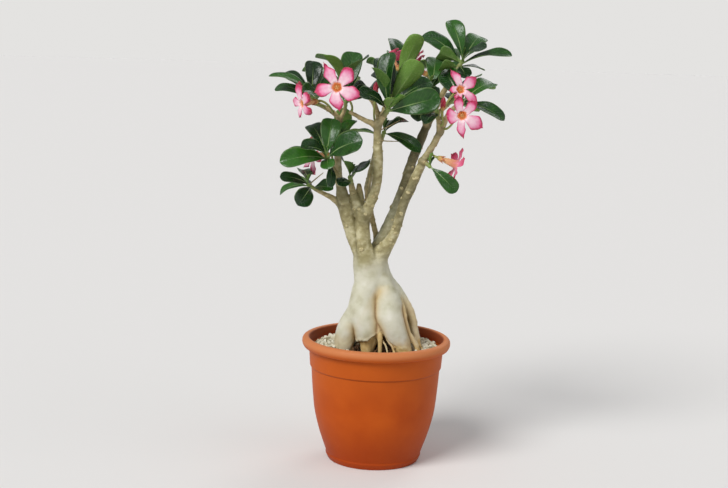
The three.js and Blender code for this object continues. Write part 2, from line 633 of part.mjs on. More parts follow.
desertRose.add(meshOf("pot", pot(), "pot"));
desertRose.add(meshOf("soil", soil(buried), "soil"));
desertRose.add(meshOf("gravel", gravel(buried), "gravel"));
desertRose.add(meshOf("stem_and_roots", plant, "bark"));
for (const name of Object.keys(ROSETTES)) desertRose.add(meshOf(`leaves_${name}`, rosette(name), "leaf"));
BLOOMS.forEach((bloom, i) => {
  const { out } = bloomAxes(bloom.faces);
  const foot = vec(...bloom.mouth).addScaledVector(out, -TRUMPET * bloom.size);
  desertRose.add(meshOf(`bloom_${i + 1}_trumpet`, trumpet(bloom), "petal"));
  desertRose.add(meshOf(`bloom_${i + 1}_stalk`, stalk(foot, bloom.faces, bloom.from, bloom.size), "stalk"));
});
BUDS.forEach(({ foot, faces, from }, i) => {
  desertRose.add(meshOf(`bud_${i + 1}_tip`, bud(vec(...foot), faces), "bud"));
  desertRose.add(meshOf(`bud_${i + 1}_stalk`, stalk(vec(...foot), faces, from, 0.7), "stalk"));
});

export default desertRose;
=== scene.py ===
# The looks of a desert rose (adenium) in a round plastic pot: bark, roots, leaves, blooms, gravel and pot.
# The tables are in millimetres, as the solids are, and the meshes are made from them in metres.
# The viewer stands at -Y. A bearing of -90 degrees points at the viewer, and a rise is above level.
import math
from functools import cache

import bmesh
import bpy
import numpy as np
from mathutils import Matrix, Vector, noise


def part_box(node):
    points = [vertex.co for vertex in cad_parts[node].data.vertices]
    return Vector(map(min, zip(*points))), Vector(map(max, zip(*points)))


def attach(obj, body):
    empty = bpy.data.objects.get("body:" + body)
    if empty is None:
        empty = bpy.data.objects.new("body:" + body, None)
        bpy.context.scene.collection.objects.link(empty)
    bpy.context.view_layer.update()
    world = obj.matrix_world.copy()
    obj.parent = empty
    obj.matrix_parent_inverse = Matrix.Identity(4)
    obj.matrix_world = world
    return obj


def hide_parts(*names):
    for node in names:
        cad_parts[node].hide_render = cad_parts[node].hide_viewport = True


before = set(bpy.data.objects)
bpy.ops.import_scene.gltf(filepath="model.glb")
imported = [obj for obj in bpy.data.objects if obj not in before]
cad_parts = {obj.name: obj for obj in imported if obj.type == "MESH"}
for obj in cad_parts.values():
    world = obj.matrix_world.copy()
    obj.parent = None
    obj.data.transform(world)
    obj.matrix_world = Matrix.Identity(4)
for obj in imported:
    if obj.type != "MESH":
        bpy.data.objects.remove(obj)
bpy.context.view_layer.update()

MM = 0.001

# The camera of the photograph: the photo's width and the focal length in pixels, the sensor in
# millimetres, its place in metres and its turns in radians
PHOTO_WIDTH = 728
FOCAL_PIXELS = 1313.4
SENSOR = 36
CAMERA_AWAY, CAMERA_HEIGHT = 1.7304, 0.5593
PAN, TILT, ROLL = -0.0117, 0.1529, 0.029

# Pot, from its solid's box
_, pot_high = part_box("pot")
POT_RADIUS = pot_high.x / MM
POT_HEIGHT = pot_high.z / MM
FOOT_RADIUS = 61.4
COLLAR_BOTTOM = 127
LIP_BOTTOM = 153.7
WALL = 2.4
FLOOR_TOP = 6
POT_SIDES = 144
DRAIN_HOLES, DRAIN_RADIUS, DRAIN_CIRCLE = 5, 4.5, 38

# Filling
SOIL_TOP = 149
GRAVEL_BED = 153.5
BARE_SOIL = {"x": -2, "y": -33, "width": 62, "depth": 36}
GAP = 0.35
SOIL_GAP = 0.6
SOIL_SIDES = 150
BED_CELL = 2.5
STONE_LAYERS, STONE_ROUNDNESS = 3, 0.72

# Plant
LEAF_ARCH, LEAF_FOLD = 0.12, 0.22
LEAF_THICKNESS = 1.3
TRUMPET = 30
MOUTH_RADIUS = 7.4
PETAL_REACH = 29
PETALS = 5
PETAL_COLUMNS = 16
PLEAT = 0.045
PETAL_WALL, SEPAL_WALL = 0.45, 0.5
STALK_RADIUS = 1.4
BUD_LENGTH = 17
BUD_CUP = 0.7
GOLDEN_TURN = 137.5
YOUNG_LEAVES = 3
ANY_SIDE = np.array([1, 0.3, 0.1])

# Which of a bloom's finishes, where 0 is the face of its petals
PETAL_BACK, ANTHERS = 1, 2

# Wood: how its limbs are sampled, skinned and run together, and from what height it has leaf scars
LIMB_STEP, LIMB_MARGIN = 4, 12
BARK_VOXEL = 1.35
RELAX_STEPS = 0.7, 0.5, 0.3, 0.3, 0
FAR = 99.0
NECK = 268
SCARS_FROM = 285
CREASE_WIDTH, FLANK_WIDTH = 2.2, 8

# Roots and swollen stem, as routes of [x, y, z, radius].
ROOTS = [
    # The neck and the core of the swollen stem.
    [[-12, 0, 281, 9], [-12, 0, 276, 16], [-12, 0, 267, 21.5], [-9, 0, 256, 24], [-4, 0, 236, 23.5],
        [0, 2, 205, 24], [1, 3, 176, 22], [1, 3, 152, 12]],
    # The three lobes at the front, from left to right.
    [[-11, 0, 258, 12], [-15, -4, 230, 17], [-22, -8, 206, 17], [-32, -12, 190, 16], [-39, -16, 179, 14.2],
        [-42, -18, 162, 14.2], [-41, -20, 146, 12], [-39, -20, 126, 6]],
    [[-11, -2, 262, 13], [-15, -8, 232, 18.5], [-17, -14, 210, 19], [-16, -21, 194, 18],
        [-12, -25, 180, 17.5], [-12, -26, 171, 15.5], [-12, -27, 162, 12.5], [-12, -27, 142, 9.5],
        [-10, -26, 126, 5]],
    [[2, -2, 252, 8], [10, -13, 236, 11], [14, -19, 215, 17.5], [16, -24, 200, 18.5], [20, -28, 190, 17.3],
        [27, -31, 175, 15], [34, -32, 161, 12.5], [39, -32, 142, 10], [41, -31, 126, 5]],
    # The slender roots at the right and the one that hangs between the lobes.
    [[6, 4, 246, 10], [22, 7, 231, 9.2], [37, 5, 213, 6.8], [47, 2, 195, 5.7], [51, -4, 179, 5.2],
        [55, -10, 162, 4.6], [58, -14, 142, 4]],
    [[22, -8, 228, 6], [34, -18, 208, 4.2], [38, -25, 191, 3.8], [43, -27, 178, 3.6], [52, -28, 165, 3.5],
        [58, -28, 148, 3]],
    [[2, -30, 188, 5], [4.5, -38, 176, 4], [5, -40, 163, 3.2], [6, -41, 144, 2.6]],
    # The lobes at the back.
    [[-12, 0, 258, 12], [-16, 10, 228, 17], [-22, 22, 203, 17], [-34, 33, 176, 15], [-40, 40, 152, 12],
        [-43, 42, 126, 6]],
    [[-2, 2, 254, 12], [8, 14, 228, 16], [20, 26, 203, 16], [31, 37, 175, 13.5], [36, 42, 150, 11],
        [38, 44, 126, 5]],
    [[-6, 4, 250, 12], [-5, 22, 222, 14], [-4, 36, 196, 13.5], [-4, 46, 172, 11], [-5, 52, 150, 9],
        [-6, 54, 126, 5]],
    [[4, 4, 244, 10], [22, 10, 218, 11], [36, 13, 194, 10], [45, 18, 170, 8.5], [50, 22, 148, 7.5],
        [52, 24, 126, 4]],
]

# Branches, as routes of [x, y, z, radius].
BRANCHES = [
    # The left branch and its riser.
    [[-16, -2, 274, 16], [-28, -2, 293, 11.5], [-37, -4, 314, 10.2], [-44, -7, 333, 9.5], [-49, -8, 352, 9],
        [-52, -9, 366, 7]],
    [[-50, -6, 356, 6.5], [-56, 1, 380, 5], [-58, 4, 404, 5], [-58, 5, 424, 4.4], [-56, 6, 443, 3.4],
        [-56, 6, 452, 3.2]],
    # The centre branch, its riser and the short limb beside it.
    [[-14, -9, 272, 14], [-20, -13, 294, 9.6], [-22, -15, 317, 8.8], [-23, -15, 337, 9]],
    [[-22, -15, 326, 8], [-15, -19, 346, 7], [-8, -22, 365, 6.4], [-5, -25, 388, 6.2], [-5, -27, 412, 6.6],
        [-6, -28, 428, 5.7], [-7, -28, 443, 4.8], [-7, -28, 457, 4.6]],
    [[-25, -11, 338, 6.5], [-27, -8, 354, 5.6], [-28, -6, 362, 4.8], [-29, -4, 370, 3.4], [-29, -3, 374, 2]],
    # The knobby twig that reaches from the centre riser to the left.
    [[-8, -28, 450, 4.4], [-15, -28, 456, 3.6], [-22, -28, 458, 3.2], [-30, -27, 462, 2.9],
        [-38, -26, 466, 2.6], [-44, -25, 469, 2.4]],
    # The two right branches.
    [[-6, 5, 270, 15.5], [3, 8, 294, 10], [12, 10, 315, 8.8], [18, 12, 331, 8.2], [30, 15, 365, 7.2],
        [41, 18, 405, 6.4], [51, 19, 432, 6], [59, 20, 453, 5.2]],
    [[-3, -4, 274, 14.5], [7, -8, 288, 10], [14, -10, 299, 7.6], [20.5, -12, 313, 6.4], [24.5, -13, 328, 5.9],
        [31, -16, 352, 6.2], [39, -17, 371, 6.3], [48, -18, 393, 5.8], [57, -19, 412, 4.9],
        [67, -20, 430, 4.4], [75, -21, 447, 4.6]],
    # The rear branch, which shows in the fork.
    [[-8, 6, 268, 11], [-4, 11, 285, 5.6], [-4, 14, 299, 3.8], [-11, 20, 325, 3.9], [-16, 25, 347, 4.2],
        [-18, 29, 365, 4.4], [-15, 33, 381, 4.3], [-11, 39, 398, 4.3], [-7, 47, 418, 4.3],
        [-7, 54, 444, 4.2]],
]

# Rosettes of leaves. The twig is a route, and the shoot is the length of its green end. A leaf is the
# bearing, rise and distance of its tip from the twig's end, its width, its turn about its own length in
# degrees, and where it grows on the shoot, from 0 at the shoot's foot to 1 at its end.
ROSETTES = {
    "far_left": {
        "twig": [[-56, 6, 444, 3.2], [-57, 6, 456, 3.2], [-66, 4, 466, 3.2], [-76, 1, 472, 3],
            [-86, -2, 477, 2.8], [-95, -2, 486, 2.6]],
        "shoot": 14,
        "leaves": [
            [-168, 24, 62, 18, 31, 0.3], [162, 10, 52, 17, 40, 0.25], [148, 34, 53, 20, 30, 0.8],
            [90, 67, 50, 24, 10, 1], [70, 40, 56, 26, 35, 0.6], [-103, 12, 43, 22, 52, 0.2],
            [110, 10, 58, 23, -25, 0.2],
        ],
    },
    "lower_left": {
        "twig": [[-49, -9, 356, 6.5], [-53, -11, 372, 5], [-60, -16, 387, 4], [-65, -22, 397, 3.6],
            [-72, -31, 410, 2.8]],
        "shoot": 16,
        "leaves": [
            [-152, -5, 66, 27, 50, 0.5], [-136, 17, 46, 24, 40, 0.9], [71, 70, 52, 27, 20, 1],
            [-30, 25, 60, 36, 60, 0.75], [120, 40, 60, 24, 20, 0.8], [-80, -24, 32, 20, 20, 0.6],
            [40, 45, 66, 28, 10, 0.5], [-70, -62, 42, 13, 0, 0.15], [178, 1, 56, 23, 29, 0.35],
        ],
    },
    "lowest_left": {
        "twig": [[-48, -8, 342, 6], [-63, -10, 354, 3.6], [-77, -14, 361, 2.8], [-96, -20, 372, 2.4]],
        "shoot": 14,
        "leaves": [
            [-145, 15, 44, 18, 55, 0.8], [105, 24, 39, 21, -4, 1], [155, -20, 44, 15, 40, 0.5],
            [-105, -30, 46, 25, 45, 0.6], [-25, -5, 38, 20, 45, 0.2], [115, 0, 48, 20, -30, 0.3],
        ],
    },
    "inner_left": {
        "twig": [[-25, -13, 332, 8], [-31, -12, 348, 6.6], [-37, -12, 364, 4.4], [-41, -16, 384, 3]],
        "shoot": 12,
        "leaves": [
            [-56, 22, 46, 29, 44, 0.65], [-110, 40, 36, 22, 20, 1], [-115, -15, 34, 18, 30, 0.2],
            [60, 20, 50, 22, -20, 0.4],
        ],
    },
    "upper_left": {
        "twig": [[-56, 6, 446, 3.2], [-56, 5, 457, 2.8], [-51, 2, 469, 2.6], [-49, -6, 482, 2.5]],
        "shoot": 14,
        "leaves": [
            [-141, 57, 70, 23, -9, 0.8], [77, 63, 71, 29, 13, 0.85], [-50, 53, 73, 31, 28, 0.85],
            [62, 19, 57, 26, 41, 0.5], [-25, 24, 36, 22, 30, 0.3], [102, -48, 46, 24, -18, 0.2],
            [125, 20, 60, 24, -30, 0.4],
        ],
    },
    "centre": {
        "twig": [[-7, -28, 452, 4.8], [-1, -29, 462, 4], [7, -31, 475, 3.2]],
        "shoot": 12,
        "leaves": [
            [-18, 14, 70, 33, 85, 0.4], [-75, 25, 36, 22, 20, 0.6], [-150, 24, 50, 27, 45, 0.5],
            [22, 32, 68, 28, 42, 0.75], [-138, 60, 60, 24, -4, 0.85], [112, 61, 73, 30, 5, 0.9],
            [-18, 57, 73, 29, -62, 1], [62, 86, 72, 27, -5, 1], [-30, 22, 32, 17, -40, 0.8],
        ],
    },
    "centre_rear": {
        "twig": [[-6, -27, 448, 4.4], [0, -16, 468, 3.6], [9, -6, 488, 3.1], [17, 0, 504, 2.7]],
        "shoot": 14,
        "leaves": [
            [-14, 67, 72, 25, -66, 1], [119, 17, 60, 24, 39, 0.65], [134, -5, 51, 23, 42, 0.4],
            [55, 3, 53, 24, -30, 0.35],
        ],
    },
    "rear_low": {
        "twig": [[-9, 42, 405, 3.6], [-3, 43, 424, 3.1], [2, 40, 440, 2.8]],
        "shoot": 12,
        "leaves": [
            [-36, -21, 65, 19, 45, 0.7], [30, 20, 40, 15, 20, 0.8], [67, 18, 48, 20, -21, 0.9],
            [165, -6, 55, 20, 0, 0.25],
        ],
    },
    "right_rear": {
        "twig": [[58, 19, 449, 4.6], [55, 9, 468, 3.6], [62, 8, 501, 2.8]],
        "shoot": 26,
        "leaves": [
            [80, 50, 52, 27, 15, 1], [55, 25, 50, 24, 20, 0.9], [-139, -22, 43, 22, 47, 0.95],
            [-145, -65, 48, 22, 20, 0.1], [93, 9, 57, 24, -49, 0.55],
        ],
    },
    "right_top": {
        "twig": [[59, 20, 452, 4.7], [71, 18, 479, 4], [85, 14, 509, 3.4], [102, 10, 538, 2.8]],
        "shoot": 14,
        "leaves": [
            [155, 30, 66, 28, 40, 0.8], [142, 66, 57, 24, 40, 1], [50, 40, 50, 30, 30, 0.9],
            [-45, 24, 44, 26, 30, 0.6], [-21, 7, 67, 23, 22, 0.4], [26, -20, 36, 13, 20, 0.2],
            [-79, -48, 30, 20, 0, 0.25], [-150, 14, 38, 22, -60, 0.7], [-157, -17, 34, 20, -50, 0.2],
            [90, 15, 58, 25, -30, 0.5],
        ],
    },
    "right_front": {
        "twig": [[75, -21, 445, 4.5], [80, -22, 460, 3.8], [88, -20, 474, 3.2], [103, -12, 485, 2.7]],
        "shoot": 14,
        "leaves": [
            [34, 26, 56, 30, 25, 0.9], [-28, -19, 63, 21, 30, 0.3], [50, -12, 44, 20, 30, 0.2],
            [128, 47, 52, 28, 49, 1], [80, 10, 60, 26, -20, 0.6],
        ],
    },
    "right_inner": {
        "twig": [[74, -21, 444, 4.2], [72, -26, 460, 3.3], [69, -29, 474, 2.8]],
        "shoot": 12,
        "leaves": [[-115, -22, 42, 20, 20, 0.5], [105, 40, 44, 20, 10, 1]],
    },
    "rear_centre": {
        "twig": [[-7, 53, 438, 4], [2, 60, 470, 3.8], [12, 61, 494, 3.2], [20, 60, 512, 2.8]],
        "shoot": 14,
        "leaves": [
            [20, 15, 58, 25, -25, 0.3], [65, 10, 60, 26, -35, 0.15], [100, 30, 64, 27, -20, 0.5],
            [146, 19, 58, 25, -23, 0.35], [64, 49, 60, 24, 10, 0.8], [120, 65, 58, 26, 0, 1],
        ],
    },
    "rear_left": {
        "twig": [[-7, 53, 440, 3.9], [-8, 60, 466, 3.6], [-26, 62, 491, 3.2], [-54, 54, 502, 2.8]],
        "shoot": 14,
        "leaves": [
            [175, 15, 60, 25, -20, 0.6], [143, 33, 62, 27, -20, 0.75], [105, 15, 60, 26, -35, 0.4],
            [70, 40, 58, 25, -15, 0.9], [150, -15, 52, 23, -30, 0.15], [74, -4, 53, 22, -14, 0.2],
        ],
    },
    "rear_right": {
        "twig": [[52, 19, 436, 5.2], [63, 38, 457, 3.9], [80, 53, 472, 3.3], [95, 60, 486, 2.8]],
        "shoot": 14,
        "leaves": [
            [10, 15, 60, 26, -15, 0.5], [45, 30, 62, 27, -25, 0.7], [81, 5, 60, 25, -41, 0.4],
            [120, 25, 60, 25, -25, 0.6], [90, 60, 58, 26, -10, 0.9], [40, -20, 52, 23, -30, 0.15],
        ],
    },
    "spur": {
        "twig": [[52, -19, 407, 5], [58, -25, 405, 3], [63, -29, 401, 2.4]],
        "shoot": 8,
        "leaves": [[-20, -39, 48, 20, 62, 0.7]],
    },
}

# Blooms: the middle of the mouth, the bearing and rise that it faces, the turn of its petals, its size,
# where the largest is 1, and the spot near which its stalk starts on a branch or twig.
BLOOMS = [
    {"mouth": [-60, -54, 501], "faces": [-92, 3], "turn": 46, "size": 1, "from": [-42, -26, 468]},
    {"mouth": [98, -50, 503], "faces": [-76, 12], "turn": 35, "size": 0.82, "from": [80, -24, 461]},
    {"mouth": [100, -66, 470], "faces": [-88, -8], "turn": 46, "size": 0.93, "from": [76, -24, 452]},
    {"mouth": [98, -24, 404], "faces": [10, -20], "turn": 20, "size": 0.86, "from": [60, -19, 419]},
    {"mouth": [-106, -38, 478], "faces": [-147, -8], "turn": 30, "size": 0.8, "from": [-68, 3, 466]},
    {"mouth": [7, 38, 541], "faces": [140, 50], "turn": 60, "size": 0.75, "from": [6, 60, 480]},
    {"mouth": [37, 31, 533], "faces": [165, 37], "turn": 10, "size": 0.84, "from": [56, 9, 473]},
    {"mouth": [-93, -5, 408], "faces": [-148, -5], "turn": 75, "size": 0.85, "from": [-56, 4, 394]},
    {"mouth": [46, 98, 492], "faces": [75, 8], "turn": 50, "size": 0.95, "from": [2, 62, 470]},
]

# Buds: the foot of the closed petals, the bearing and rise of the tip, and where the stalk starts.
BUDS = [
    {"foot": [-11, -20, 492], "faces": [-80, 78], "from": [-6, -29, 458]},
    {"foot": [76, -36, 476], "faces": [-70, 80], "from": [71, -26, 455]},
    {"foot": [-108, -24, 491], "faces": [-100, 70], "from": [-80, 0, 473]},
]

# Thin roots that show between the lobes, too slender for the solids.
ROOTLETS = [
    [[9, -36, 170, 1.3], [14, -43, 161, 1.2], [16, -47, 152, 1], [15, -50, 144, 0.8]],
    [[14, -36, 172, 1.6], [21, -44, 163, 1.4], [26, -49, 154, 1.1], [31, -53, 145, 0.9]],
    [[24, -40, 165, 1.2], [23, -47, 158, 1], [21, -52, 150, 0.9], [24, -56, 143, 0.7]],
    [[50, -20, 172, 1.6], [56, -23, 164, 1.4], [62, -24, 156, 1.2], [68, -26, 147, 0.9]],
]

# Dry twigs too thin for the solids.
DRY_TWIGS = [
    [[-93, -14, 373, 0.9], [-84, -15, 381, 0.8], [-76, -16, 388, 0.5]],
    [[-3, 0, 431, 1.0], [8, 8, 430, 0.8], [24, 10, 430, 0.4]],
    [[-7, 46, 440, 1.0], [8, 34, 448, 0.8], [23, 30, 457, 0.4]],
    [[-20, -3, 352, 1.1], [-17, -4, 372, 1.0], [-14, -2, 388, 0.6]],
]

# How wide the fillet between limbs is at each height: wide at the neck, and so narrow at the soil that
# the lobes of the root part with a crease. At places from left to right, the creases end lower or higher.
FILLETS = [(160, 0.6), (200, 1.0), (222, 2.2), (238, 9), (268, 8), (283, 2.2), (300, 1.6)]
CREASE_TOPS = [(-28, -40), (-14, -10), (0, 12), (14, 12), (26, -12)]

# Where the pale skin of the lobes ends above the soil: heights at places from left to right.
SKIN_EDGE = [
    (-60, 150), (-38, 152), (-29, 166), (-22, 169.5), (-16, 170.5), (-4, 175), (0, 179), (6, 184), (12, 176),
    (30, 162), (48, 157),
]

# How far the root below that edge is sunk, and its hem raised, at places from left to right.
SUNK = [(-30, 0.7), (-25, 3.4), (-3, 3.4), (1, 0.5)]
RAISED = [(-30, 0), (-25, 1.1), (-3, 1.1), (3, 0.3)]

# The largest scars of fallen twigs, as [x, y, z, size].
LARGE_SCARS = [
    [46.7, -24, 385, 3.4], [35.6, -23, 366, 3.2], [27.4, -20, 338, 3.0], [21.7, -19, 311, 3.0],
    [14.1, -19, 302, 3.2], [18, -19, 320, 2.4], [-4.6, -31, 376, 3.2], [-10, -26, 360, 3.0],
    [-9.6, -25, 347, 3.0], [-5.5, -28, 364, 2.6], [-35.8, -17, 341, 3.0], [-29, -22, 343, 3.0],
    [-36.5, -16, 363, 2.6], [-19, -24, 336, 2.8], [-44, -14, 318, 2.6], [-26, -22, 300, 2.4],
]

# The leaf's half width along its length, as shares of its length and of half its width.
LEAF_OUTLINE = [
    (0, 0.07), (0.08, 0.09), (0.2, 0.27), (0.4, 0.67), (0.6, 0.93), (0.76, 1), (0.87, 0.93), (0.94, 0.74),
    (0.98, 0.44), (1, 0),
]

# The profile of the pot, as [radius, height, rounding].
POT_OUTSIDE = [
    [FOOT_RADIUS, 0, 1.2], [64.9, 7.4, 1.2], [64.2, 9.4, 0.8], [75, 40, 14], [81.6, 67, 12], [84.8, 100, 10],
    [86.6, COLLAR_BOTTOM - 0.6, 0.5], [88.5, COLLAR_BOTTOM + 1, 0.9], [90.4, LIP_BOTTOM, 0.8],
]
POT_LIP = [
    [96.8, LIP_BOTTOM, 1.6], [POT_RADIUS, 159, 3], [99.4, 164.8, 2.6], [94.6, POT_HEIGHT, 3],
    [89.6, 166.4, 2],
]

# Half the width of a petal along its length, in millimetres.
PETAL_OUTLINE = [
    (0, 4.35), (0.1, 5.5), (0.25, 8.1), (0.42, 10.8), (0.58, 12.2), (0.72, 11.9), (0.84, 9.6), (0.93, 6.2),
    (1, 0.6),
]

# The throat of a bloom, as its radius at heights out of the mouth.
THROAT = [
    (2.3, -30), (2.5, -26), (3.1, -22), (4.3, -16), (5.1, -11), (5.5, -7), (5.9, -4.4), (6.4, -2.4),
    (MOUTH_RADIUS, -0.6),
]

# The petals of some blooms: how far each swings round in degrees, its length and its width as shares
# of the usual ones, and how much of its tip is drawn out to a tongue. The other blooms draw theirs.
PETAL_FORMS = {
    1: [(5, 1.05, 0.82, 0.1), (6, 1.16, 0.68, 1), (8, 0.97, 0.76, 0.1), (12, 0.97, 0.76, 0.2),
        (6, 1.08, 0.86, 0.3)],
    2: [(5, 1.07, 0.86, 0.5), (8, 1.1, 0.6, 0.2), (4, 0.6, 0.5, 0), (-4, 0.62, 0.5, 0),
        (-3, 1.15, 0.62, 0.3)],
    3: [(6, 0.9, 0.6, 0), (-18, 0.94, 0.55, 0.1), (-8, 0.76, 0.88, 0), (10, 1.08, 0.54, 0.8),
        (-2, 1.1, 0.9, 0.2)],
    6: [(0, 1, 0.95, 0), (4, 0.95, 0.9, 0.2), (-4, 1.02, 1, 0), (5, 0.9, 0.95, 0.1), (0, 1, 0.9, 0)],
    7: [(0, 1.02, 1, 0), (-5, 0.95, 0.95, 0.2), (4, 1, 0.9, 0), (0, 0.92, 1, 0), (3, 1, 0.95, 0.1)],
}


# Numbers, ways and colours


def heading(bearing, rise):
    """The unit vector with a bearing and a rise in degrees."""
    bearing, rise = math.radians(bearing), math.radians(rise)
    level = math.cos(rise)
    return np.array([level * math.cos(bearing), level * math.sin(bearing), math.sin(rise)])


def unit(vectors):
    vectors = np.asarray(vectors, float)
    return vectors / np.linalg.norm(vectors, axis=-1, keepdims=True)


def flattened(vector, normal):
    """A unit vector's part that lies across a normal."""
    return unit(vector - np.dot(vector, normal) * normal)


def turned(vector, axis, degrees):
    return np.array(Matrix.Rotation(math.radians(degrees), 3, Vector(axis)) @ Vector(vector))


def circle(count):
    """Angles all the way round, in equal steps."""
    return 2 * math.pi * np.arange(count) / count


def graph(value, points):
    """The height at a value of the line through (value, height) points."""
    return np.interp(value, *zip(*points))


def colour(code):
    """A hex colour as the linear numbers that a shader takes."""
    parts = [int(code[i : i + 2], 16) / 255 for i in (1, 3, 5)]
    return [c / 12.92 if c < 0.04045 else ((c + 0.055) / 1.055) ** 2.4 for c in parts] + [1]


def lumps(points, size, seed=0):
    """Smooth noise from -1 to 1 at points, with lumps of about one size."""
    shift = Vector((17.3 * seed, 5.1 * seed, -9.7 * seed))
    return np.array([noise.noise(Vector(p) / size + shift) for p in points])


# Meshes


def grid_faces(rows, columns, around=False):
    """The quads of a grid of points, row by row, whose columns may run all the way round."""
    faces = []
    for k in range(rows - 1):
        for i in range(columns if around else columns - 1):
            j = (i + 1) % columns
            faces.append((k * columns + i, k * columns + j, (k + 1) * columns + j, (k + 1) * columns + i))
    return faces


def closed_faces(rows, columns):
    """The quads of rings of points, with a face over each end."""
    last = (rows - 1) * columns
    return grid_faces(rows, columns, around=True) + [range(columns)[::-1], range(last, last + columns)]


def facing_back(faces):
    return [face[::-1] for face in faces]


def stored_at_points(mesh, readings):
    """Stores numbers or vectors at each point of a mesh, under the names that the nodes read."""
    for name, values in readings.items():
        kind, field = ("FLOAT_VECTOR", "vector") if np.ndim(values) == 2 else ("FLOAT", "value")
        mesh.attributes.new(name, kind, "POINT").data.foreach_set(field, np.ravel(values))


class Skin:
    """Points in millimetres and faces, with the numbers that the finishes read at each point."""

    def __init__(self, *readings):
        self.points, self.faces, self.finishes = [], [], []
        self.readings = {name: [] for name in readings}
        self.count = 0

    def add(self, points, faces, finish=0, **readings):
        points = np.asarray(points, float).reshape(-1, 3)
        self.points.append(points)
        self.faces += [[self.count + corner for corner in face] for face in faces]
        self.finishes += [finish] * len(faces)
        for name, values in self.readings.items():
            values.append(np.broadcast_to(np.ravel(readings.get(name, 0.0)), len(points)))
        self.count += len(points)

    def add_tube(self, path, radii, sides, finish=0, **readings):
        """A round limb along a path, closed at both ends. Readings are one number for each point of it."""
        rings = rings_along(path, radii, sides)
        spread = {
            name: np.repeat(np.broadcast_to(values, len(rings)), sides) for name, values in readings.items()
        }
        self.add(rings, closed_faces(len(rings), sides), finish, **spread)

    def build(self, name, *finishes):
        mesh = bpy.data.meshes.new(name)
        mesh.from_pydata((np.concatenate(self.points) * MM).tolist(), [], self.faces)
        for finish in finishes:
            mesh.materials.append(finish)
        mesh.polygons.foreach_set("material_index", self.finishes)
        mesh.polygons.foreach_set("use_smooth", [True] * len(mesh.polygons))
        stored_at_points(mesh, {reading: np.concatenate(values) for reading, values in self.readings.items()})
        return linked(bpy.data.objects.new(name, mesh))


def point_piece(name, spots, **readings):
    """Loose points, given in millimetres, on which a node group sets its shapes."""
    mesh = bpy.data.meshes.new(name)
    mesh.from_pydata((spots * MM).tolist(), [], [])
    stored_at_points(mesh, readings)
    return linked(bpy.data.objects.new(name, mesh))


def linked(piece):
    bpy.context.scene.collection.objects.link(piece)
    return piece


def dressed(piece, slot, *nodes):
    """Hangs a finished piece on the part, in place of the solids that it stands for."""
    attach(piece, "root")
    if nodes:
        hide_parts(*nodes)
    return piece


def rings_along(path, radii, sides):
    """Rings of points round a path, each facing along it, with no twist from one to the next."""
    path = np.asarray(path, float)
    along = unit(np.gradient(path, axis=0))
    side = ANY_SIDE
    turns = circle(sides)
    rings = []
    for middle, way, radius in zip(path, along, np.broadcast_to(radii, len(path))):
        side = flattened(side, way)
        across = np.cross(way, side)
        rings.append(middle + radius * (np.outer(np.cos(turns), side) + np.outer(np.sin(turns), across)))
    return np.array(rings)


def merged(piece, gap=0.02, outwards=True):
    """Merges the points of a piece that lie within a gap in millimetres, and turns its faces outwards."""
    work = bmesh.new()
    work.from_mesh(piece.data)
    bmesh.ops.remove_doubles(work, verts=work.verts, dist=gap * MM)
    if outwards:
        bmesh.ops.recalc_face_normals(work, faces=work.faces)
    work.to_mesh(piece.data)
    work.free()
    return piece


def settled(piece):
    """Applies a piece's modifiers, so that a plain mesh is left."""
    depsgraph = bpy.context.evaluated_depsgraph_get()
    mesh = bpy.data.meshes.new_from_object(piece.evaluated_get(depsgraph))
    piece.modifiers.clear()
    piece.data = mesh
    return piece


def joined(pieces):
    """Joins pieces into the first, which keeps its name."""
    with bpy.context.temp_override(active_object=pieces[0], selected_editable_objects=pieces):
        bpy.ops.object.join()
    return pieces[0]


# Nodes, for finishes and for what repeats


class Flow:
    """What comes out of a node. Arithmetic with it adds the nodes that work the result out."""

    def __init__(self, tree, socket):
        self.tree, self.socket = tree, socket

    def __add__(self, other):
        return calc("ADD", self, other)

    def __sub__(self, other):
        return calc("SUBTRACT", self, other)

    def __rsub__(self, other):
        return calc("SUBTRACT", other, self)

    def __mul__(self, other):
        return calc("MULTIPLY", self, other)

    def __pow__(self, other):
        return calc("POWER", self, other)

    def __abs__(self):
        return calc("ABSOLUTE", self)


def put(tree, kind, inputs=None, **options):
    """Adds a node, sets its options, and feeds its inputs with flows or plain values."""
    node = tree.nodes.new(kind)
    for option, value in options.items():
        setattr(node, option, value)
    for key, value in (inputs or {}).items():
        if isinstance(value, Flow):
            tree.links.new(value.socket, node.inputs[key])
        else:
            node.inputs[key].default_value = value
    return node


def flow(tree, kind, inputs=None, output=0, **options):
    """Adds a node, and gives what comes out of it."""
    return Flow(tree, put(tree, kind, inputs, **options).outputs[output])


def calc(operation, *terms, clamp=False):
    """Arithmetic on flows and plain numbers, at least one of them a flow."""
    tree = next(term.tree for term in terms if isinstance(term, Flow))
    return flow(tree, "ShaderNodeMath", dict(enumerate(terms)), operation=operation, use_clamp=clamp)


def steer(operation, *vectors):
    """What calc does, for vectors."""
    output = "Value" if operation == "LENGTH" else "Vector"
    inputs = dict(enumerate(vectors))
    return flow(vectors[0].tree, "ShaderNodeVectorMath", inputs, output, operation=operation)


def scaled(vector, factor):
    inputs = {"Vector": vector, "Scale": factor}
    return flow(vector.tree, "ShaderNodeVectorMath", inputs, operation="SCALE")


def total(first, *vectors):
    """The sum of several vectors."""
    for vector in vectors:
        first = steer("ADD", first, vector)
    return first


def rise(value, start, end):
    """0 up to one value and 1 from another on, with a smooth step between."""
    inputs = {"Value": value, "From Min": start, "From Max": end}
    return flow(value.tree, "ShaderNodeMapRange", inputs, interpolation_type="SMOOTHSTEP")


def read(tree, *names):
    """The numbers that a mesh keeps at its points under each name."""
    return [flow(tree, "ShaderNodeAttribute", output="Fac", attribute_name=name) for name in names]


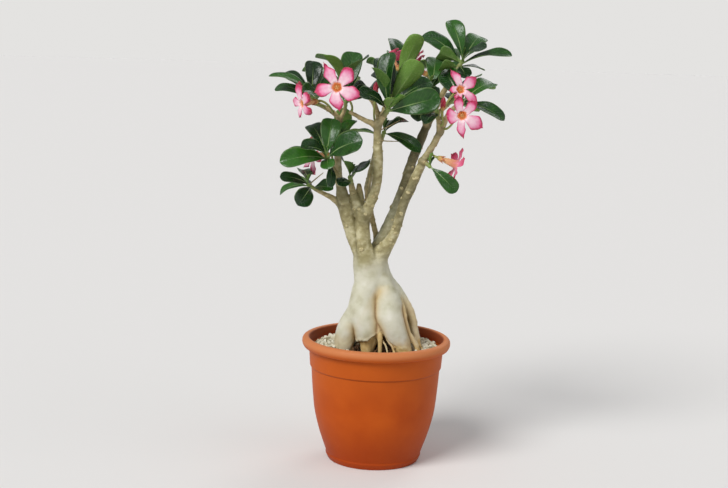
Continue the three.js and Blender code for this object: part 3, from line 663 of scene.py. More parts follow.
def parts_of(vector):
    """A vector's parts along X, Y and Z."""
    outputs = put(vector.tree, "ShaderNodeSeparateXYZ", {0: vector}).outputs
    return [Flow(vector.tree, part) for part in outputs]


def place(tree):
    """Where a finish is on its piece: Object coordinates."""
    return flow(tree, "ShaderNodeTexCoord", output="Object")


def mottle(tree, size, detail=2.0, stretch=(1, 1, 1), rough=0.5):
    """Noise from 0 to 1 with spots of about one size, in millimetres, longer along a stretched axis."""
    squeezed = flow(tree, "ShaderNodeMapping", {"Vector": place(tree), "Scale": [1 / s for s in stretch]})
    inputs = {"Vector": squeezed, "Scale": 1 / (size * MM), "Detail": detail, "Roughness": rough}
    return flow(tree, "ShaderNodeTexNoise", inputs, "Fac")


def blend(factor, under, over):
    """Lays a colour over another by a factor. A plain colour over it is given by its hex code."""
    over = colour(over) if isinstance(over, str) else over
    return flow(factor.tree, "ShaderNodeMix", {0: factor, 6: under, 7: over}, 2, data_type="RGBA")


def ramp(value, *stops):
    """A colour for each value, from stops of (value, hex colour)."""
    node = put(value.tree, "ShaderNodeValToRGB", {0: value})
    marks = node.color_ramp.elements
    while len(marks) < len(stops):
        marks.new(1)
    for mark, (spot, code) in zip(marks, stops):
        mark.position, mark.color = spot, colour(code)
    return Flow(value.tree, node.outputs[0])


def new_finish(name, roughness, **shader_inputs):
    """A material with its node tree."""
    made = bpy.data.materials.new(name)
    made.use_nodes = True
    inputs = made.node_tree.nodes["Principled BSDF"].inputs
    for key, value in {"Roughness": roughness, **shader_inputs}.items():
        inputs[key.replace("_", " ")].default_value = value
    return made, made.node_tree


def coated(made, base, height, depth, **flows):
    """Feeds a material its colour, and relief whose height runs from 0 to 1 over a depth in millimetres."""
    tree = made.node_tree
    relief = flow(tree, "ShaderNodeBump", {"Height": height, "Distance": depth * MM})
    for key, value in {"Base_Color": base, "Normal": relief, **flows}.items():
        tree.links.new(value.socket, tree.nodes["Principled BSDF"].inputs[key.replace("_", " ")])
    return made


# Geometry nodes


def node_group(piece, name, **sizes):
    """A node group on the piece that takes named sizes. Gives its tree and the flows that come in."""
    tree = bpy.data.node_groups.new(name, "GeometryNodeTree")
    for way in ("INPUT", "OUTPUT"):
        tree.interface.new_socket("Geometry", in_out=way, socket_type="NodeSocketGeometry")
    modifier = piece.modifiers.new(name, "NODES")
    sockets = {}
    for size, value in sizes.items():
        kind = "NodeSocketInt" if isinstance(value, int) else "NodeSocketFloat"
        sockets[size] = tree.interface.new_socket(size, in_out="INPUT", socket_type=kind)
    given = put(tree, "NodeGroupInput")
    put(tree, "NodeGroupOutput", name="Group Output")
    modifier.node_group = tree
    for size, value in sizes.items():
        modifier[sockets[size].identifier] = value
    return tree, {name: Flow(tree, given.outputs[name]) for name in ("Geometry", *sizes)}


def named(tree, kind, *names):
    """The attributes that a geometry keeps under each name."""
    return [flow(tree, "GeometryNodeInputNamedAttribute", {"Name": name}, data_type=kind) for name in names]


def stored(geometry, name, value, **options):
    inputs = {"Geometry": geometry, "Name": name, "Value": value}
    return flow(geometry.tree, "GeometryNodeStoreNamedAttribute", inputs, data_type="FLOAT", **options)


def moved(geometry, **where):
    return flow(geometry.tree, "GeometryNodeSetPosition", {"Geometry": geometry, **where})


def set_on(points, shape, **how):
    return flow(points.tree, "GeometryNodeInstanceOnPoints", {"Points": points, "Instance": shape, **how})


def realized(geometry):
    return flow(geometry.tree, "GeometryNodeRealizeInstances", {0: geometry})


def gathered(*geometries):
    """Several geometries as one."""
    tree = geometries[0].tree
    whole = put(tree, "GeometryNodeJoinGeometry")
    for geometry in geometries:
        tree.links.new(geometry.socket, whole.inputs[0])
    return Flow(tree, whole.outputs[0])


def handed_over(geometry, finish, smooth=True):
    """Realizes what a group has placed, gives it its finish and hands it over."""
    tree = geometry.tree
    inputs = {"Geometry": realized(geometry), "Shade Smooth": smooth}
    shaded = flow(tree, "GeometryNodeSetShadeSmooth", inputs)
    painted = flow(tree, "GeometryNodeSetMaterial", {"Geometry": shaded, "Material": finish})
    tree.links.new(painted.socket, tree.nodes["Group Output"].inputs[0])


# Limbs


class Limb:
    """A tapered limb along a smooth route of [x, y, z, radius] points."""

    def __init__(self, route):
        route = np.array(route, float)
        self.stops, self.girths = route[:, :3], route[:, 3]
        marks = self.at(np.linspace(0, 1, 201))
        steps = np.linalg.norm(np.diff(marks, axis=0), axis=1)
        self.run = np.concatenate([[0], np.cumsum(steps)])
        self.length = self.run[-1]
        t = np.linspace(0, 1, max(3, int(self.length / LIMB_STEP)))
        self.line, self.radii = self.at(t), self.radius(t)
        reach = self.radii.max() + LIMB_MARGIN
        self.low, self.high = self.line.min(axis=0) - reach, self.line.max(axis=0) + reach

    def at(self, t):
        """Points of the middle line at parameters from 0 to 1, on a centripetal Catmull-Rom curve."""
        stops = self.stops
        spot = np.atleast_1d(t) * (len(stops) - 1)
        k = np.minimum(spot.astype(int), len(stops) - 2)
        w = (spot - k)[:, None]
        ends = np.vstack([2 * stops[0] - stops[1], stops, 2 * stops[-1] - stops[-2]])
        p0, p1, p2, p3 = (ends[k + i] for i in range(4))
        pairs = (p0, p1), (p1, p2), (p2, p3)
        d0, d1, d2 = (np.sqrt(np.linalg.norm(b - a, axis=1))[:, None] for a, b in pairs)
        leave = ((p1 - p0) / d0 - (p2 - p0) / (d0 + d1) + (p2 - p1) / d1) * d1
        arrive = ((p2 - p1) / d1 - (p3 - p1) / (d1 + d2) + (p3 - p2) / d2) * d1
        square = 3 * (p2 - p1) - 2 * leave - arrive
        cube = 2 * (p1 - p2) + leave + arrive
        return p1 + leave * w + square * w**2 + cube * w**3

    def radius(self, t):
        return np.interp(t, np.linspace(0, 1, len(self.girths)), self.girths)

    def before(self, distance):
        """The parameter at a distance before the limb's end."""
        return np.interp(self.length - distance, self.run, np.linspace(0, 1, len(self.run)))

    def way(self, t):
        return unit(self.at(t + 0.005)[0] - self.at(t - 0.005)[0])

    def upto(self, t):
        """The limb from its foot to a parameter, as a limb of its own."""
        t = np.linspace(0, t, 5)
        return Limb(np.column_stack([self.at(t), self.radius(t)]))

    def nearest(self, points):
        """How far each point lies outside the bark, the way out, and the limb's radius there."""
        start, step = self.line[:-1], np.diff(self.line, axis=0)
        off = points[:, None] - start
        share = np.clip((off * step).sum(axis=2) / (step**2).sum(axis=1), 0, 1)
        out = off - share[..., None] * step
        away = np.linalg.norm(out, axis=2)
        radius = self.radii[:-1] + share * np.diff(self.radii)
        each = np.arange(len(points))
        k = (away - radius).argmin(axis=1)
        away, radius = away[each, k], radius[each, k]
        return away - radius, out[each, k] / np.maximum(away, 1e-6)[:, None], radius


roots = [Limb(route) for route in ROOTS]
branches = [Limb(route) for route in BRANCHES]
twigs = {name: Limb(rosette["twig"]) for name, rosette in ROSETTES.items()}
wood_limbs = roots + branches + [
    twig.upto(twig.before(ROSETTES[name]["shoot"] + GAP)) for name, twig in twigs.items()
]


# Bark


def wood_around(points, limbs):
    """What the wood is like round points: how far outside it they lie, the way out, the girth there,
    and from 0 to 1 how near they are to a crease and to its flanks. Limbs that meet flow into each other."""
    count = len(points)
    first, second = np.full(count, FAR), np.full(count, FAR)
    first_way, second_way, girth = np.zeros((count, 3)), np.zeros((count, 3)), np.zeros(count)
    first_way[:, 2] = 1
    for limb in limbs:
        near = np.flatnonzero(np.all((points > limb.low) & (points < limb.high), axis=1))
        if not len(near):
            continue
        gap, way, radius = limb.nearest(points[near])
        best = gap < first[near]
        rows = near[best]
        second[rows], second_way[rows] = first[rows], first_way[rows]
        first[rows], first_way[rows], girth[rows] = gap[best], way[best], radius[best]
        next_best = ~best & (gap < second[near])
        rows = near[next_best]
        second[rows], second_way[rows] = gap[next_best], way[next_best]
    x, height = points[:, 0], points[:, 2]
    level = height - graph(x, CREASE_TOPS) * np.interp(height, [240, 262], [1, 0])
    level = np.where(height < NECK, np.minimum(level, NECK), level)
    fillet = graph(level, FILLETS)
    apart = second - first
    share = np.clip((fillet - apart) / (2 * fillet), 0, 0.5)
    outside = first - fillet * share**2
    way = unit(first_way * (1 - share[:, None]) + second_way * share[:, None])
    open_crease = np.clip(1.4 - fillet / 5, 0, 1)
    crease, flank = (open_crease * np.exp(-((apart / width) ** 2)) for width in (CREASE_WIDTH, FLANK_WIDTH))
    return outside, way, girth, crease, flank


def neighbours_of(mesh):
    """For each vertex, the mean of its neighbours, as a function of an array of values."""
    ends = np.zeros(len(mesh.edges) * 2, int)
    mesh.edges.foreach_get("vertices", ends)
    one, other = ends[::2], ends[1::2]
    count = np.bincount(ends, minlength=len(mesh.vertices))[:, None]

    def mean(values):
        summed = np.zeros_like(values)
        np.add.at(summed, one, values[other])
        np.add.at(summed, other, values[one])
        return summed / count

    return mean


def wood():
    """The swollen stem, its roots, branches and twigs, as one skin that is drawn onto their smooth union."""
    rough = Skin()
    for limb in wood_limbs:
        rough.add_tube(limb.line, limb.radii, sides=16)
    piece = rough.build("stem_and_roots_bark", bark_finish())
    remesh = piece.modifiers.new("one_skin", "REMESH")
    remesh.mode = "VOXEL"
    remesh.voxel_size = BARK_VOXEL * MM
    mesh = settled(piece).data
    points = np.zeros(len(mesh.vertices) * 3)
    mesh.vertices.foreach_get("co", points)
    points = points.reshape(-1, 3) / MM
    mean = neighbours_of(mesh)
    for relax in RELAX_STEPS:
        points += relax * (mean(points) - points)
        outside, way, girth, crease, flank = wood_around(points, wood_limbs)
        points -= np.clip(outside, -3, 3)[:, None] * way
    bared, hem = below_the_skin(points)
    points -= (bared * graph(points[:, 0], SUNK))[:, None] * way
    points += (hem * graph(points[:, 0], RAISED))[:, None] * way
    painted_gap_shade = between_the_lobes(points)
    swollen = np.interp(girth, [4, 20], [0.18, 1])
    relief = 0.8 * lumps(points, 24) + 0.35 * lumps(points, 9, seed=1) + 0.15 * lumps(points, 3.5, seed=2)
    relief += 0.5 * np.interp(points[:, 2], [165, 185], [1, 0]) * lumps(points, 4, seed=3)
    knobs = np.interp(girth, [2.5, 5, 9, 14], [0.35, 0.7, 0.7, 0]) * lumps(points, 7, seed=4)
    points += (swollen * relief + knobs)[:, None] * way
    mesh.vertices.foreach_set("co", (points * MM).ravel())
    marks = {"girth": girth, "crease": crease, "flank": flank, "bared": bared, "painted_gap_shade": painted_gap_shade}
    stored_at_points(mesh, marks)
    mesh.polygons.foreach_set("use_smooth", [True] * len(mesh.polygons))
    mesh.materials.clear()
    mesh.materials.append(bark_finish())
    mesh.update()
    return piece


def below_the_skin(points):
    """From 0 on the pale skin to 1 on the tan root below its ragged edge, and from 0 to 1 along its hem."""
    flat = points * [1, 1, 0.2]
    ragged = 3.4 * lumps(flat, 6, seed=12) + 2.6 * lumps(flat, 2.6, seed=13)
    above = points[:, 2] - graph(points[:, 0], SKIN_EDGE) - ragged
    share = np.clip(-above / 1.6, 0, 1)
    return share * share * (3 - 2 * share), np.exp(-(((above - 1) / 1.4) ** 2))


def between_the_lobes(points):
    """1 in the gaps behind the roots at the front, which the bark paints with dark soil-brown shade, and 0
    elsewhere.
    """
    x, y, z = points.T
    deep = np.interp(y, [-31, -25], [0, 1]) * np.interp(y, [-6, 0], [1, 0])
    return np.interp(z, [170, 182], [1, 0]) * deep * np.interp(np.abs(x + 2), [22, 28], [1, 0])


def rootlets():
    """The thin roots between the lobes, which sway a little, and the dry twigs."""
    skin = Skin("girth", "crease", "bared")
    for route in ROOTLETS:
        limb, t = Limb(route), np.linspace(0, 1, 14)
        path = limb.at(t)
        sway = [[noise.noise(Vector(p) / 6 + Vector((shift, 0, 0))) for shift in (0, 9)] + [0] for p in path]
        skin.add_tube(path + 1.2 * np.array(sway), limb.radius(t), sides=8, girth=2, crease=0.2, bared=0.7)
    for route in DRY_TWIGS:
        limb, t = Limb(route), np.linspace(0, 1, 12)
        skin.add_tube(limb.at(t), limb.radius(t), sides=8, girth=2)
    return skin.build("rootlets", bark_finish())


@cache
def bark_finish():
    """Smooth pale bark: cream on the swollen stem, tan by the soil, grey-green above, with painted shade in
    its tan creases, under the leaves and between the lobes.
    """
    made, tree = new_finish("pale_bark", 0.62)
    across, depth, height = parts_of(place(tree))
    girth, crease, flank, bared, painted_gap_shade = read(tree, "girth", "crease", "flank", "bared", "painted_gap_shade")
    patches = mottle(tree, 26, detail=3)
    specks = mottle(tree, 6, detail=4, stretch=(1.3, 1.3, 1))
    marks = specks * 0.6 + patches * 0.4
    swollen = ramp(patches, (0.3, "#aea988"), (0.46, "#c8c5ad"), (0.7, "#dcd9ca"))
    warm = ramp(marks, (0.34, "#82774d"), (0.48, "#a3996d"), (0.64, "#cbc39c"))
    grey = ramp(marks, (0.34, "#9a9876"), (0.5, "#b9b799"), (0.66, "#d6d4be"))
    # Painted shadow of the leaves: the upper limbs are painted darker where the leaves above shade them, the
    # rear limbs fully and the front one in a band of heights.
    shaded = ramp(marks, (0.34, "#4d4a30"), (0.5, "#67603f"), (0.64, "#898161"))
    twig = ramp(specks, (0.3, "#8d7d50"), (0.6, "#c8b586"))
    root_tan = ramp(specks, (0.3, "#c39a52"), (0.55, "#dcbc7a"), (0.75, "#e6d3a0"))
    branch = blend(rise(depth, -0.006, 0.008), warm, grey)
    behind = rise(height, 0.315, 0.365) * rise(depth, -0.010, 0.006)
    in_front = rise(height, 0.305, 0.34) * rise(height, 0.395, 0.37) * 0.7
    leaf_shadow = rise(across, 0.012, 0.028) * calc("MAXIMUM", behind, in_front)
    branch = blend(rise(girth, 5.2, 3.6), blend(leaf_shadow, branch, shaded), twig)
    above = rise(height + patches * 0.03, 0.269, 0.305)
    bare = blend(above, swollen, branch)
    from_fork = steer("LENGTH", steer("SUBTRACT", place(tree), (-0.019, -0.022, 0.276)))
    bare = blend(rise(from_fork + specks * 0.012, 0.024, 0.008) * 0.6, bare, "#8b8048")
    low = rise(height + patches * 0.03, 0.196, 0.176)
    by_the_right = rise(across, 0.004, 0.022) * 0.6 + 0.3
    slim_root = rise(girth, 9, 6) * rise(height, 0.235, 0.22)
    stained = calc("MAXIMUM", low * by_the_right, slim_root * 0.5)
    skin = blend(calc("MAXIMUM", stained, bared * 0.9), bare, root_tan)
    # The flanks of the creases are painted tan, partly as painted shade beside them.
    skin = blend(flank * rise(height, 0.262, 0.24) * 0.7, skin, "#cbb078")
    # The low creases are painted tan-brown: a stain there, deepened as painted shade.
    skin = blend(crease * rise(height, 0.238, 0.212) * 0.85, skin, "#7d5a2e")
    # Higher up, the creases get an olive painted shade.
    skin = blend(crease * above * 0.6, skin, "#5f5834")
    # Painted shade, in dark soil brown, in the gaps between the front lobes.
    skin = blend(painted_gap_shade * 0.85, skin, "#7f582a")
    fine = mottle(tree, 2.0, detail=4, stretch=(1.8, 1.8, 0.9), rough=0.6)
    broad = mottle(tree, 8, stretch=(1.4, 1.4, 0.8))
    wrinkles = mottle(tree, 2.4, detail=3, stretch=(4, 4, 0.7))
    return coated(made, skin, fine * 0.6 + broad * 0.55 + wrinkles * 0.5, 0.36)


def scar_spots():
    """Leaf scars: where they sit on the branches, the way out of the bark and along it, and their size."""
    rows = []
    turn = 0
    draw = np.random.default_rng(7)
    for limb in branches + list(twigs.values()):
        along = 14.0
        while along < limb.length - 8:
            t = limb.before(limb.length - along)
            run = limb.way(t)
            turn += GOLDEN_TURN
            out = turned(flattened(ANY_SIDE, run), run, turn)
            size = np.interp(limb.radius(t), [2.5, 9], [1.5, 3.6]) * draw.uniform(0.6, 1.2)
            rows.append([*(limb.at(t)[0] + limb.radius(t) * out), *run, size])
            along += np.interp(limb.radius(t), [3, 9], [5.5, 10]) * draw.uniform(0.6, 1.5)
    rows = np.array(rows)
    outside, _, _, crease, _ = wood_around(rows[:, :3], wood_limbs)
    rows = rows[(np.abs(outside) < 0.8) & (crease < 0.2) & (rows[:, 2] > SCARS_FROM)]
    spots, ways = on_the_bark(rows[:, :3], 1)
    large = np.array(LARGE_SCARS)
    large_spots, large_ways = on_the_bark(large[:, :3], 3)
    upwards = np.tile([0.25, 0, 1], (len(large), 1))
    return (
        np.vstack([spots, large_spots]), np.vstack([ways, large_ways]),
        np.vstack([rows[:, 3:6], upwards]), np.concatenate([rows[:, 6], large[:, 3]]),
    )


def on_the_bark(spots, steps):
    """Spots drawn onto the bark in a few steps, and the way out of it there."""
    for _ in range(steps):
        outside, ways, *_ = wood_around(spots, wood_limbs)
        spots = spots - outside[:, None] * ways
    return spots, ways


def scars():
    """Pale shield-shaped leaf scars, set on the bark by a node tree."""
    spots, ways, runs, sizes = scar_spots()
    piece = point_piece("leaf_scars", spots, out=ways, run=runs, size=sizes * MM)
    tree, given = node_group(piece, "leaf scars", Flatness=0.32, Length=0.72)
    ball = flow(tree, "GeometryNodeMeshIcoSphere", {"Radius": 1.0, "Subdivisions": 2}, "Mesh")
    out, run = named(tree, "FLOAT_VECTOR", "out", "run")
    [size] = named(tree, "FLOAT", "size")
    align = "FunctionNodeAlignRotationToVector"
    upright = flow(tree, align, {"Vector": out}, axis="Z")
    laid = flow(tree, align, {"Rotation": upright, "Vector": run}, axis="Y", pivot_axis="Z")
    form = flow(tree, "ShaderNodeCombineXYZ", {0: 1.0, 1: given["Length"], 2: given["Flatness"]})
    handed_over(set_on(given["Geometry"], ball, Rotation=laid, Scale=scaled(form, size)), scar_finish())
    return settled(piece)


def scar_finish():
    made, tree = new_finish("leaf_scar", 0.7)
    base = ramp(mottle(tree, 2.5, detail=3), (0.35, "#a39567"), (0.6, "#c6bb8f"))
    return coated(made, base, mottle(tree, 1.2), 0.3)


# Leaves


def leaf_rows(name):
    """Each leaf of a rosette: its foot, the way to its tip, the way that its upper side faces, and width."""
    shoot, twig = ROSETTES[name]["shoot"], twigs[name]
    apex = twig.at(1)[0]
    rows = []
    for bearing, lift, length, width, turn, spot in ROSETTES[name]["leaves"]:
        foot = twig.at(twig.before((1 - spot) * (shoot - 2.5)))[0]
        rows.append((foot, apex + length * heading(bearing, lift) - foot, bearing, lift, width, turn))
    young = np.random.default_rng(len(rows) + int(10 * shoot))
    for k in range(YOUNG_LEAVES):
        bearing, lift = GOLDEN_TURN * k + 40, 62 + 8 * k
        length = young.uniform(11, 20)
        rows.append((apex, length * heading(bearing, lift), bearing, lift, 0.34 * length, 0))
    for foot, chord, bearing, lift, width, turn in rows:
        along = unit(chord)
        up = flattened(heading(bearing + 180, 90 - lift), along)
        facing = -turn if math.cos(math.radians(bearing)) < 0 else turn
        yield foot, chord, turned(up, along, facing), width


def rosette(name, finish, shoot_skin, number):
    """A rosette of leaves on its green shoot. One point for each leaf goes into a node group."""
    feet, chords, ups, widths = (np.array(column) for column in zip(*leaf_rows(name)))
    draw = np.random.default_rng(100 + number)
    count = len(feet)
    piece = point_piece(
        f"rosette_{name}", feet, foot=feet * MM, chord=chords * MM, up=ups, half=widths * MM / 2,
        shade=draw.uniform(0, 1, count), sway=draw.uniform(0, 6.3, count),
        arch=LEAF_ARCH * draw.uniform(0.6, 1.5, count), fold=LEAF_FOLD * draw.uniform(0.3, 2.4, count),
        twist=draw.uniform(-0.22, 0.22, count),
    )
    leaf_group(piece, finish)
    return joined([settled(piece), shoot_of(name, shoot_skin)])


def leaf_group(piece, finish):
    """The rule for a leathery leaf: a thick blade, widest past its middle, arched, folded and waved."""
    sizes = {"Thickness": LEAF_THICKNESS * MM, "Wave": 0.09, "Rib": 0.35 * MM}
    tree, given = node_group(piece, "leathery leaf", Columns=13, Rows=22, **sizes)
    cells = {"Size X": 2.0, "Size Y": 1.0, "Vertices X": given["Columns"], "Vertices Y": given["Rows"]}
    grid = flow(tree, "GeometryNodeMeshGrid", cells, "Mesh")
    side, end, _ = parts_of(flow(tree, "GeometryNodeInputPosition"))
    blade = stored(stored(grid, "across", side), "along", 1 - (0.5 - end) ** 1.7)
    blades = realized(set_on(given["Geometry"], blade))

    across, along, half = named(tree, "FLOAT", "across", "along", "half")
    sway, arch, fold, twist = named(tree, "FLOAT", "sway", "arch", "fold", "twist")
    foot, chord, up = named(tree, "FLOAT_VECTOR", "foot", "chord", "up")
    up = flow(tree, "ShaderNodeVectorRotate", {"Vector": up, "Axis": chord, "Angle": twist * (along - 0.3)})
    side = steer("NORMALIZE", steer("CROSS_PRODUCT", chord, up))
    outline = put(tree, "ShaderNodeFloatCurve", {"Value": along})
    shape_curve(outline, LEAF_OUTLINE)
    half_width = half * Flow(tree, outline.outputs[0])
    to_tip = 1 - along
    bow = along * to_tip * 4 * arch * steer("LENGTH", chord)
    edge = half_width * abs(across) ** 1.4
    ripple = calc("SINE", along * 11 + across * 1.6 + sway)
    lift = bow + edge * fold + ripple * edge * given["Wave"]
    middle = total(foot, scaled(chord, along), scaled(side, half_width * across), scaled(up, lift))

    round_edge = calc("SQRT", 1.0001 - across * across)
    round_tip = calc("SQRT", calc("MULTIPLY", to_tip, 14, clamp=True))
    round_foot = calc("SQRT", calc("MULTIPLY", along, 40, clamp=True))
    thick = round_edge * round_tip * round_foot * (given["Thickness"] * 0.5)
    rib = calc("EXPONENT", abs(across) ** 2 * -60) * given["Rib"] * (to_tip * round_foot)
    upper = moved(blades, Position=total(middle, scaled(up, thick - rib)))
    under = moved(blades, Position=total(middle, scaled(up, (thick + rib * 1.6) * -1)))
    under = flow(tree, "GeometryNodeFlipFaces", {"Mesh": stored(under, "upper", 0.0)})
    both = gathered(stored(upper, "upper", 1.0), under)
    closed = flow(tree, "GeometryNodeMergeByDistance", {"Geometry": both, "Distance": 0.02 * MM})
    handed_over(closed, finish)


def shape_curve(node, points):
    """Draws a float curve through points that run from 0 to 1."""
    curve = node.mapping.curves[0]
    while len(curve.points) < len(points):
        curve.points.new(0.5, 0.5)
    for mark, (x, y) in zip(curve.points, points):
        mark.location = x, y
        mark.handle_type = "AUTO"
    node.mapping.update()


def shoot_of(name, finish):
    """The green end of a twig, which swells and narrows a little along its length."""
    twig, shoot = twigs[name], ROSETTES[name]["shoot"]
    t = np.linspace(twig.before(shoot), 1, 22)
    radii = twig.radius(t) * (1 + 0.07 * np.sin(np.linspace(0, 5 * math.pi, 22)))
    path = np.vstack([twig.at(t), twig.at(1) + 1.3 * twig.way(0.995), twig.at(1) + 2 * twig.way(0.995)])
    skin = Skin("age")
    skin.add_tube(path, [*radii, 0.75 * radii[-1], 0.3 * radii[-1]], sides=14, age=np.linspace(1, 0, 24))
    return skin.build(f"shoot_{name}", finish)


def leaf_finish():
    """Glossy dark green above with a pale midrib and faint veins, and dull yellow-green with dots below."""
    made, tree = new_finish("leaf_green", 0.3, Specular_IOR_Level=0.4, Coat_Weight=0.1, Coat_Roughness=0.12)
    across, along, upper, shade = read(tree, "across", "along", "upper", "shade")
    from_rib = abs(across)
    tone = mottle(tree, 9, detail=3) * 0.4 + shade * 0.6
    top = ramp(tone, (0.15, "#072009"), (0.45, "#11350d"), (0.8, "#33651c"))
    below = ramp(tone, (0.2, "#426827"), (0.8, "#6a9038"))
    beat = abs(calc("FRACT", along * 13 - from_rib * 2.6) - 0.5)
    vein = rise(beat, 0.42, 0.5) * rise(from_rib, 1, 0.5)
    top = blend(vein * 0.16, top, "#6d9a55")
    below = blend(vein * 0.25, below, "#4f7a3b")
    dots = rise(mottle(tree, 1.3, detail=1), 0.6, 0.68)
    below = blend(dots * 0.4, below, "#a8bf74")
    midrib = calc("LESS_THAN", from_rib, (1.08 - along) * 0.08) * rise(along, 1.0, 0.1)
    petiole = rise(along, 0.17, 0.05)
    edge_line = rise(from_rib, 0.9, 0.98) * 0.4
    pale = calc("MAXIMUM", calc("MAXIMUM", midrib, petiole), edge_line)
    skin = blend(rise(upper, 0.35, 0.65), below, top)
    skin = blend(pale * 0.85, skin, "#a3ba78")
    relief = mottle(tree, 3.6, detail=3) * 0.9 - vein * 0.3
    dullness = flow(tree, "ShaderNodeMapRange", {"Value": upper, "To Min": 0.6, "To Max": 0.27})
    return coated(made, skin, relief, 0.5, Roughness=dullness)


def shoot_finish():
    made, tree = new_finish("green_shoot", 0.5)
    [age] = read(tree, "age")
    base = ramp(age, (0.0, "#7f9a4c"), (0.6, "#8d9358"), (1.0, "#9c8f63"))
    return coated(made, base, mottle(tree, 2.5, detail=3), 0.4)


# Pot


def rounded(corners):
    """A profile through [radius, height, rounding] corners, each rounded by an arc-like bend of that size."""
    points = []
    for k, (r, z, size) in enumerate(corners):
        corner = np.array([r, z])
        if not size:
            points.append(corner)
            continue
        before, after = (corner + size * unit(np.array(corners[j][:2]) - corner) for j in (k - 1, k + 1))
        for t in np.linspace(0, 1, 6):
            points.append(before * (1 - t) ** 2 + 2 * corner * t * (1 - t) + after * t**2)
    return np.array(points)


def inner_radius(height):
    side = np.array([[r, z] for r, z, _ in POT_OUTSIDE])
    return float(np.interp(height, side[:, 1], side[:, 0])) - WALL


def pot():
    """The pot, turned from one profile, with its drain holes cut."""
    inside = [[inner_radius(z), z, 2] for z in (LIP_BOTTOM, COLLAR_BOTTOM, 100, 67, 40, FLOOR_TOP + 2)]
    profile = rounded([[0, 0, 0], *POT_OUTSIDE, *POT_LIP, *inside, [0, FLOOR_TOP, 0]])[1:-1]
    turns = circle(POT_SIDES)
    ring = np.column_stack([np.cos(turns), np.sin(turns)])
    rows = [np.column_stack([r * ring, np.full(len(ring), z)]) for r, z in profile]
    faces = grid_faces(len(rows), len(ring), around=True)
    count = len(rows) * len(ring)
    last = count - len(ring)
    for i in range(len(ring)):
        j = (i + 1) % len(ring)
        faces += [(count, j, i), (count + 1, last + i, last + j)]
    skin = Skin()
    skin.add(np.vstack([*rows, [[0, 0, 0], [0, 0, FLOOR_TOP]]]), faces)
    piece = merged(skin.build("plastic_pot", pot_finish()))
    drills = Skin()
    for k in range(DRAIN_HOLES):
        middle = DRAIN_CIRCLE * heading(360 * k / DRAIN_HOLES, 0)
        drills.add_tube([middle + [0, 0, z] for z in (-5, 3, 4 * FLOOR_TOP)], DRAIN_RADIUS, sides=20)
    drill = merged(drills.build("drain_drill", pot_finish()))
    cut = piece.modifiers.new("drain_holes", "BOOLEAN")
    cut.object, cut.solver = drill, "EXACT"
    settled(piece)
    bpy.data.objects.remove(drill)
    return piece


@cache
def pot_finish():
    """Scuffed terracotta plastic, with a painted highlight on the lip, painted light towards the collar, and
    painted shade at the foot, inside and under the collar.
    """
    made, tree = new_finish("terracotta_plastic", 0.5, Specular_IOR_Level=0.15)
    height = parts_of(place(tree))[2]
    cloud = mottle(tree, 45, detail=3)
    specks = mottle(tree, 3.2, detail=4, rough=0.7)
    scuff = rise(specks, 0.66, 0.74) * rise(cloud, 0.42, 0.62)
    from_axis = steer("LENGTH", steer("MULTIPLY", place(tree), (1, 1, 0)))
    shaded_inner_wall = rise(from_axis, 0.0925, 0.0895) * rise(height, 0.1536, 0.1545)
    shade_under_collar = rise(abs(height - COLLAR_BOTTOM * MM), 0.0018, 0.0004)
    plastic = ramp(cloud, (0.3, "#ae470b"), (0.5, "#b64d0d"), (0.72, "#be5410"))
    # Painted light and shade: the pot is painted paler towards the collar and darker at the foot.
    plastic = blend(rise(height, 0.07, 0.15) * 0.5, plastic, "#c4601c")
    plastic = blend(rise(height, 0.07, 0.01) * 0.6, plastic, "#98350a")
    plastic = blend(scuff * 0.35, plastic, "#d98a5c")
    # Painted highlight along the lip.
    plastic = blend(rise(height, 0.155, 0.163) * 0.66, plastic, "#d08b5c")
    # Painted shade on the inner wall above the soil.
    plastic = blend(shaded_inner_wall * 0.82, plastic, "#722508")
    # Painted shade in a thin band under the collar's step.
    plastic = blend(shade_under_collar * 0.35, plastic, "#7d2f10")
    return coated(made, plastic, mottle(tree, 1.6, detail=3) * 0.5 + specks * 0.35, 0.12)


# Soil and gravel


def soil():
    """Potting mix with a rough top, which fills the pot."""
    turns = circle(SOIL_SIDES)
    rows = []
    for radius in [0.5, 1, *np.arange(3, inner_radius(SOIL_TOP) - SOIL_GAP, 1.6)]:
        row = np.column_stack([radius * np.cos(turns), radius * np.sin(turns), np.full(len(turns), SOIL_TOP)])
        row[:, 2] += 1.1 * lumps(row, 7, seed=5) + 0.7 * lumps(row, 2.6, seed=6)
        row[:, 2] += np.interp(beyond_the_bare_soil(row), [-10, 0], [2.5, 0])
        rows.append(row)
    for height in (SOIL_TOP - 2, COLLAR_BOTTOM, 67, FLOOR_TOP + GAP):
        edge = rows[-1].copy()
        edge[:, :2] *= (inner_radius(height) - SOIL_GAP) / np.hypot(*edge[0, :2])
        edge[:, 2] = height
        rows.append(edge)
    skin = Skin()
    skin.add(np.concatenate(rows), closed_faces(len(rows), len(turns)))
    return merged(skin.build("potting_mix", soil_finish()))


@cache
def soil_finish():
    made, tree = new_finish("potting_mix", 0.9)
    tone = mottle(tree, 3, detail=4, rough=0.7)
    base = ramp(tone, (0.3, "#2b1a0c"), (0.5, "#533820"), (0.65, "#7b5730"), (0.8, "#a07c48"))
    return coated(made, base, mottle(tree, 1.2, detail=4), 0.6)


def gravel_height(points):
    """The height of the gravel's bed, which lies a little higher against the roots."""
    away = np.hypot(points[:, 0], points[:, 1])
    in_front = np.interp(points[:, 1], [-46, -28], [1, 0]) * np.interp(np.abs(points[:, 0]), [40, 62], [1, 0])
    slope = np.interp(away, [40, 62, 88], [4.5, 2, -1.5]) * (1 - in_front) - 4.5 * in_front
    return GRAVEL_BED + slope + 1.2 * lumps(points, 16, seed=8)


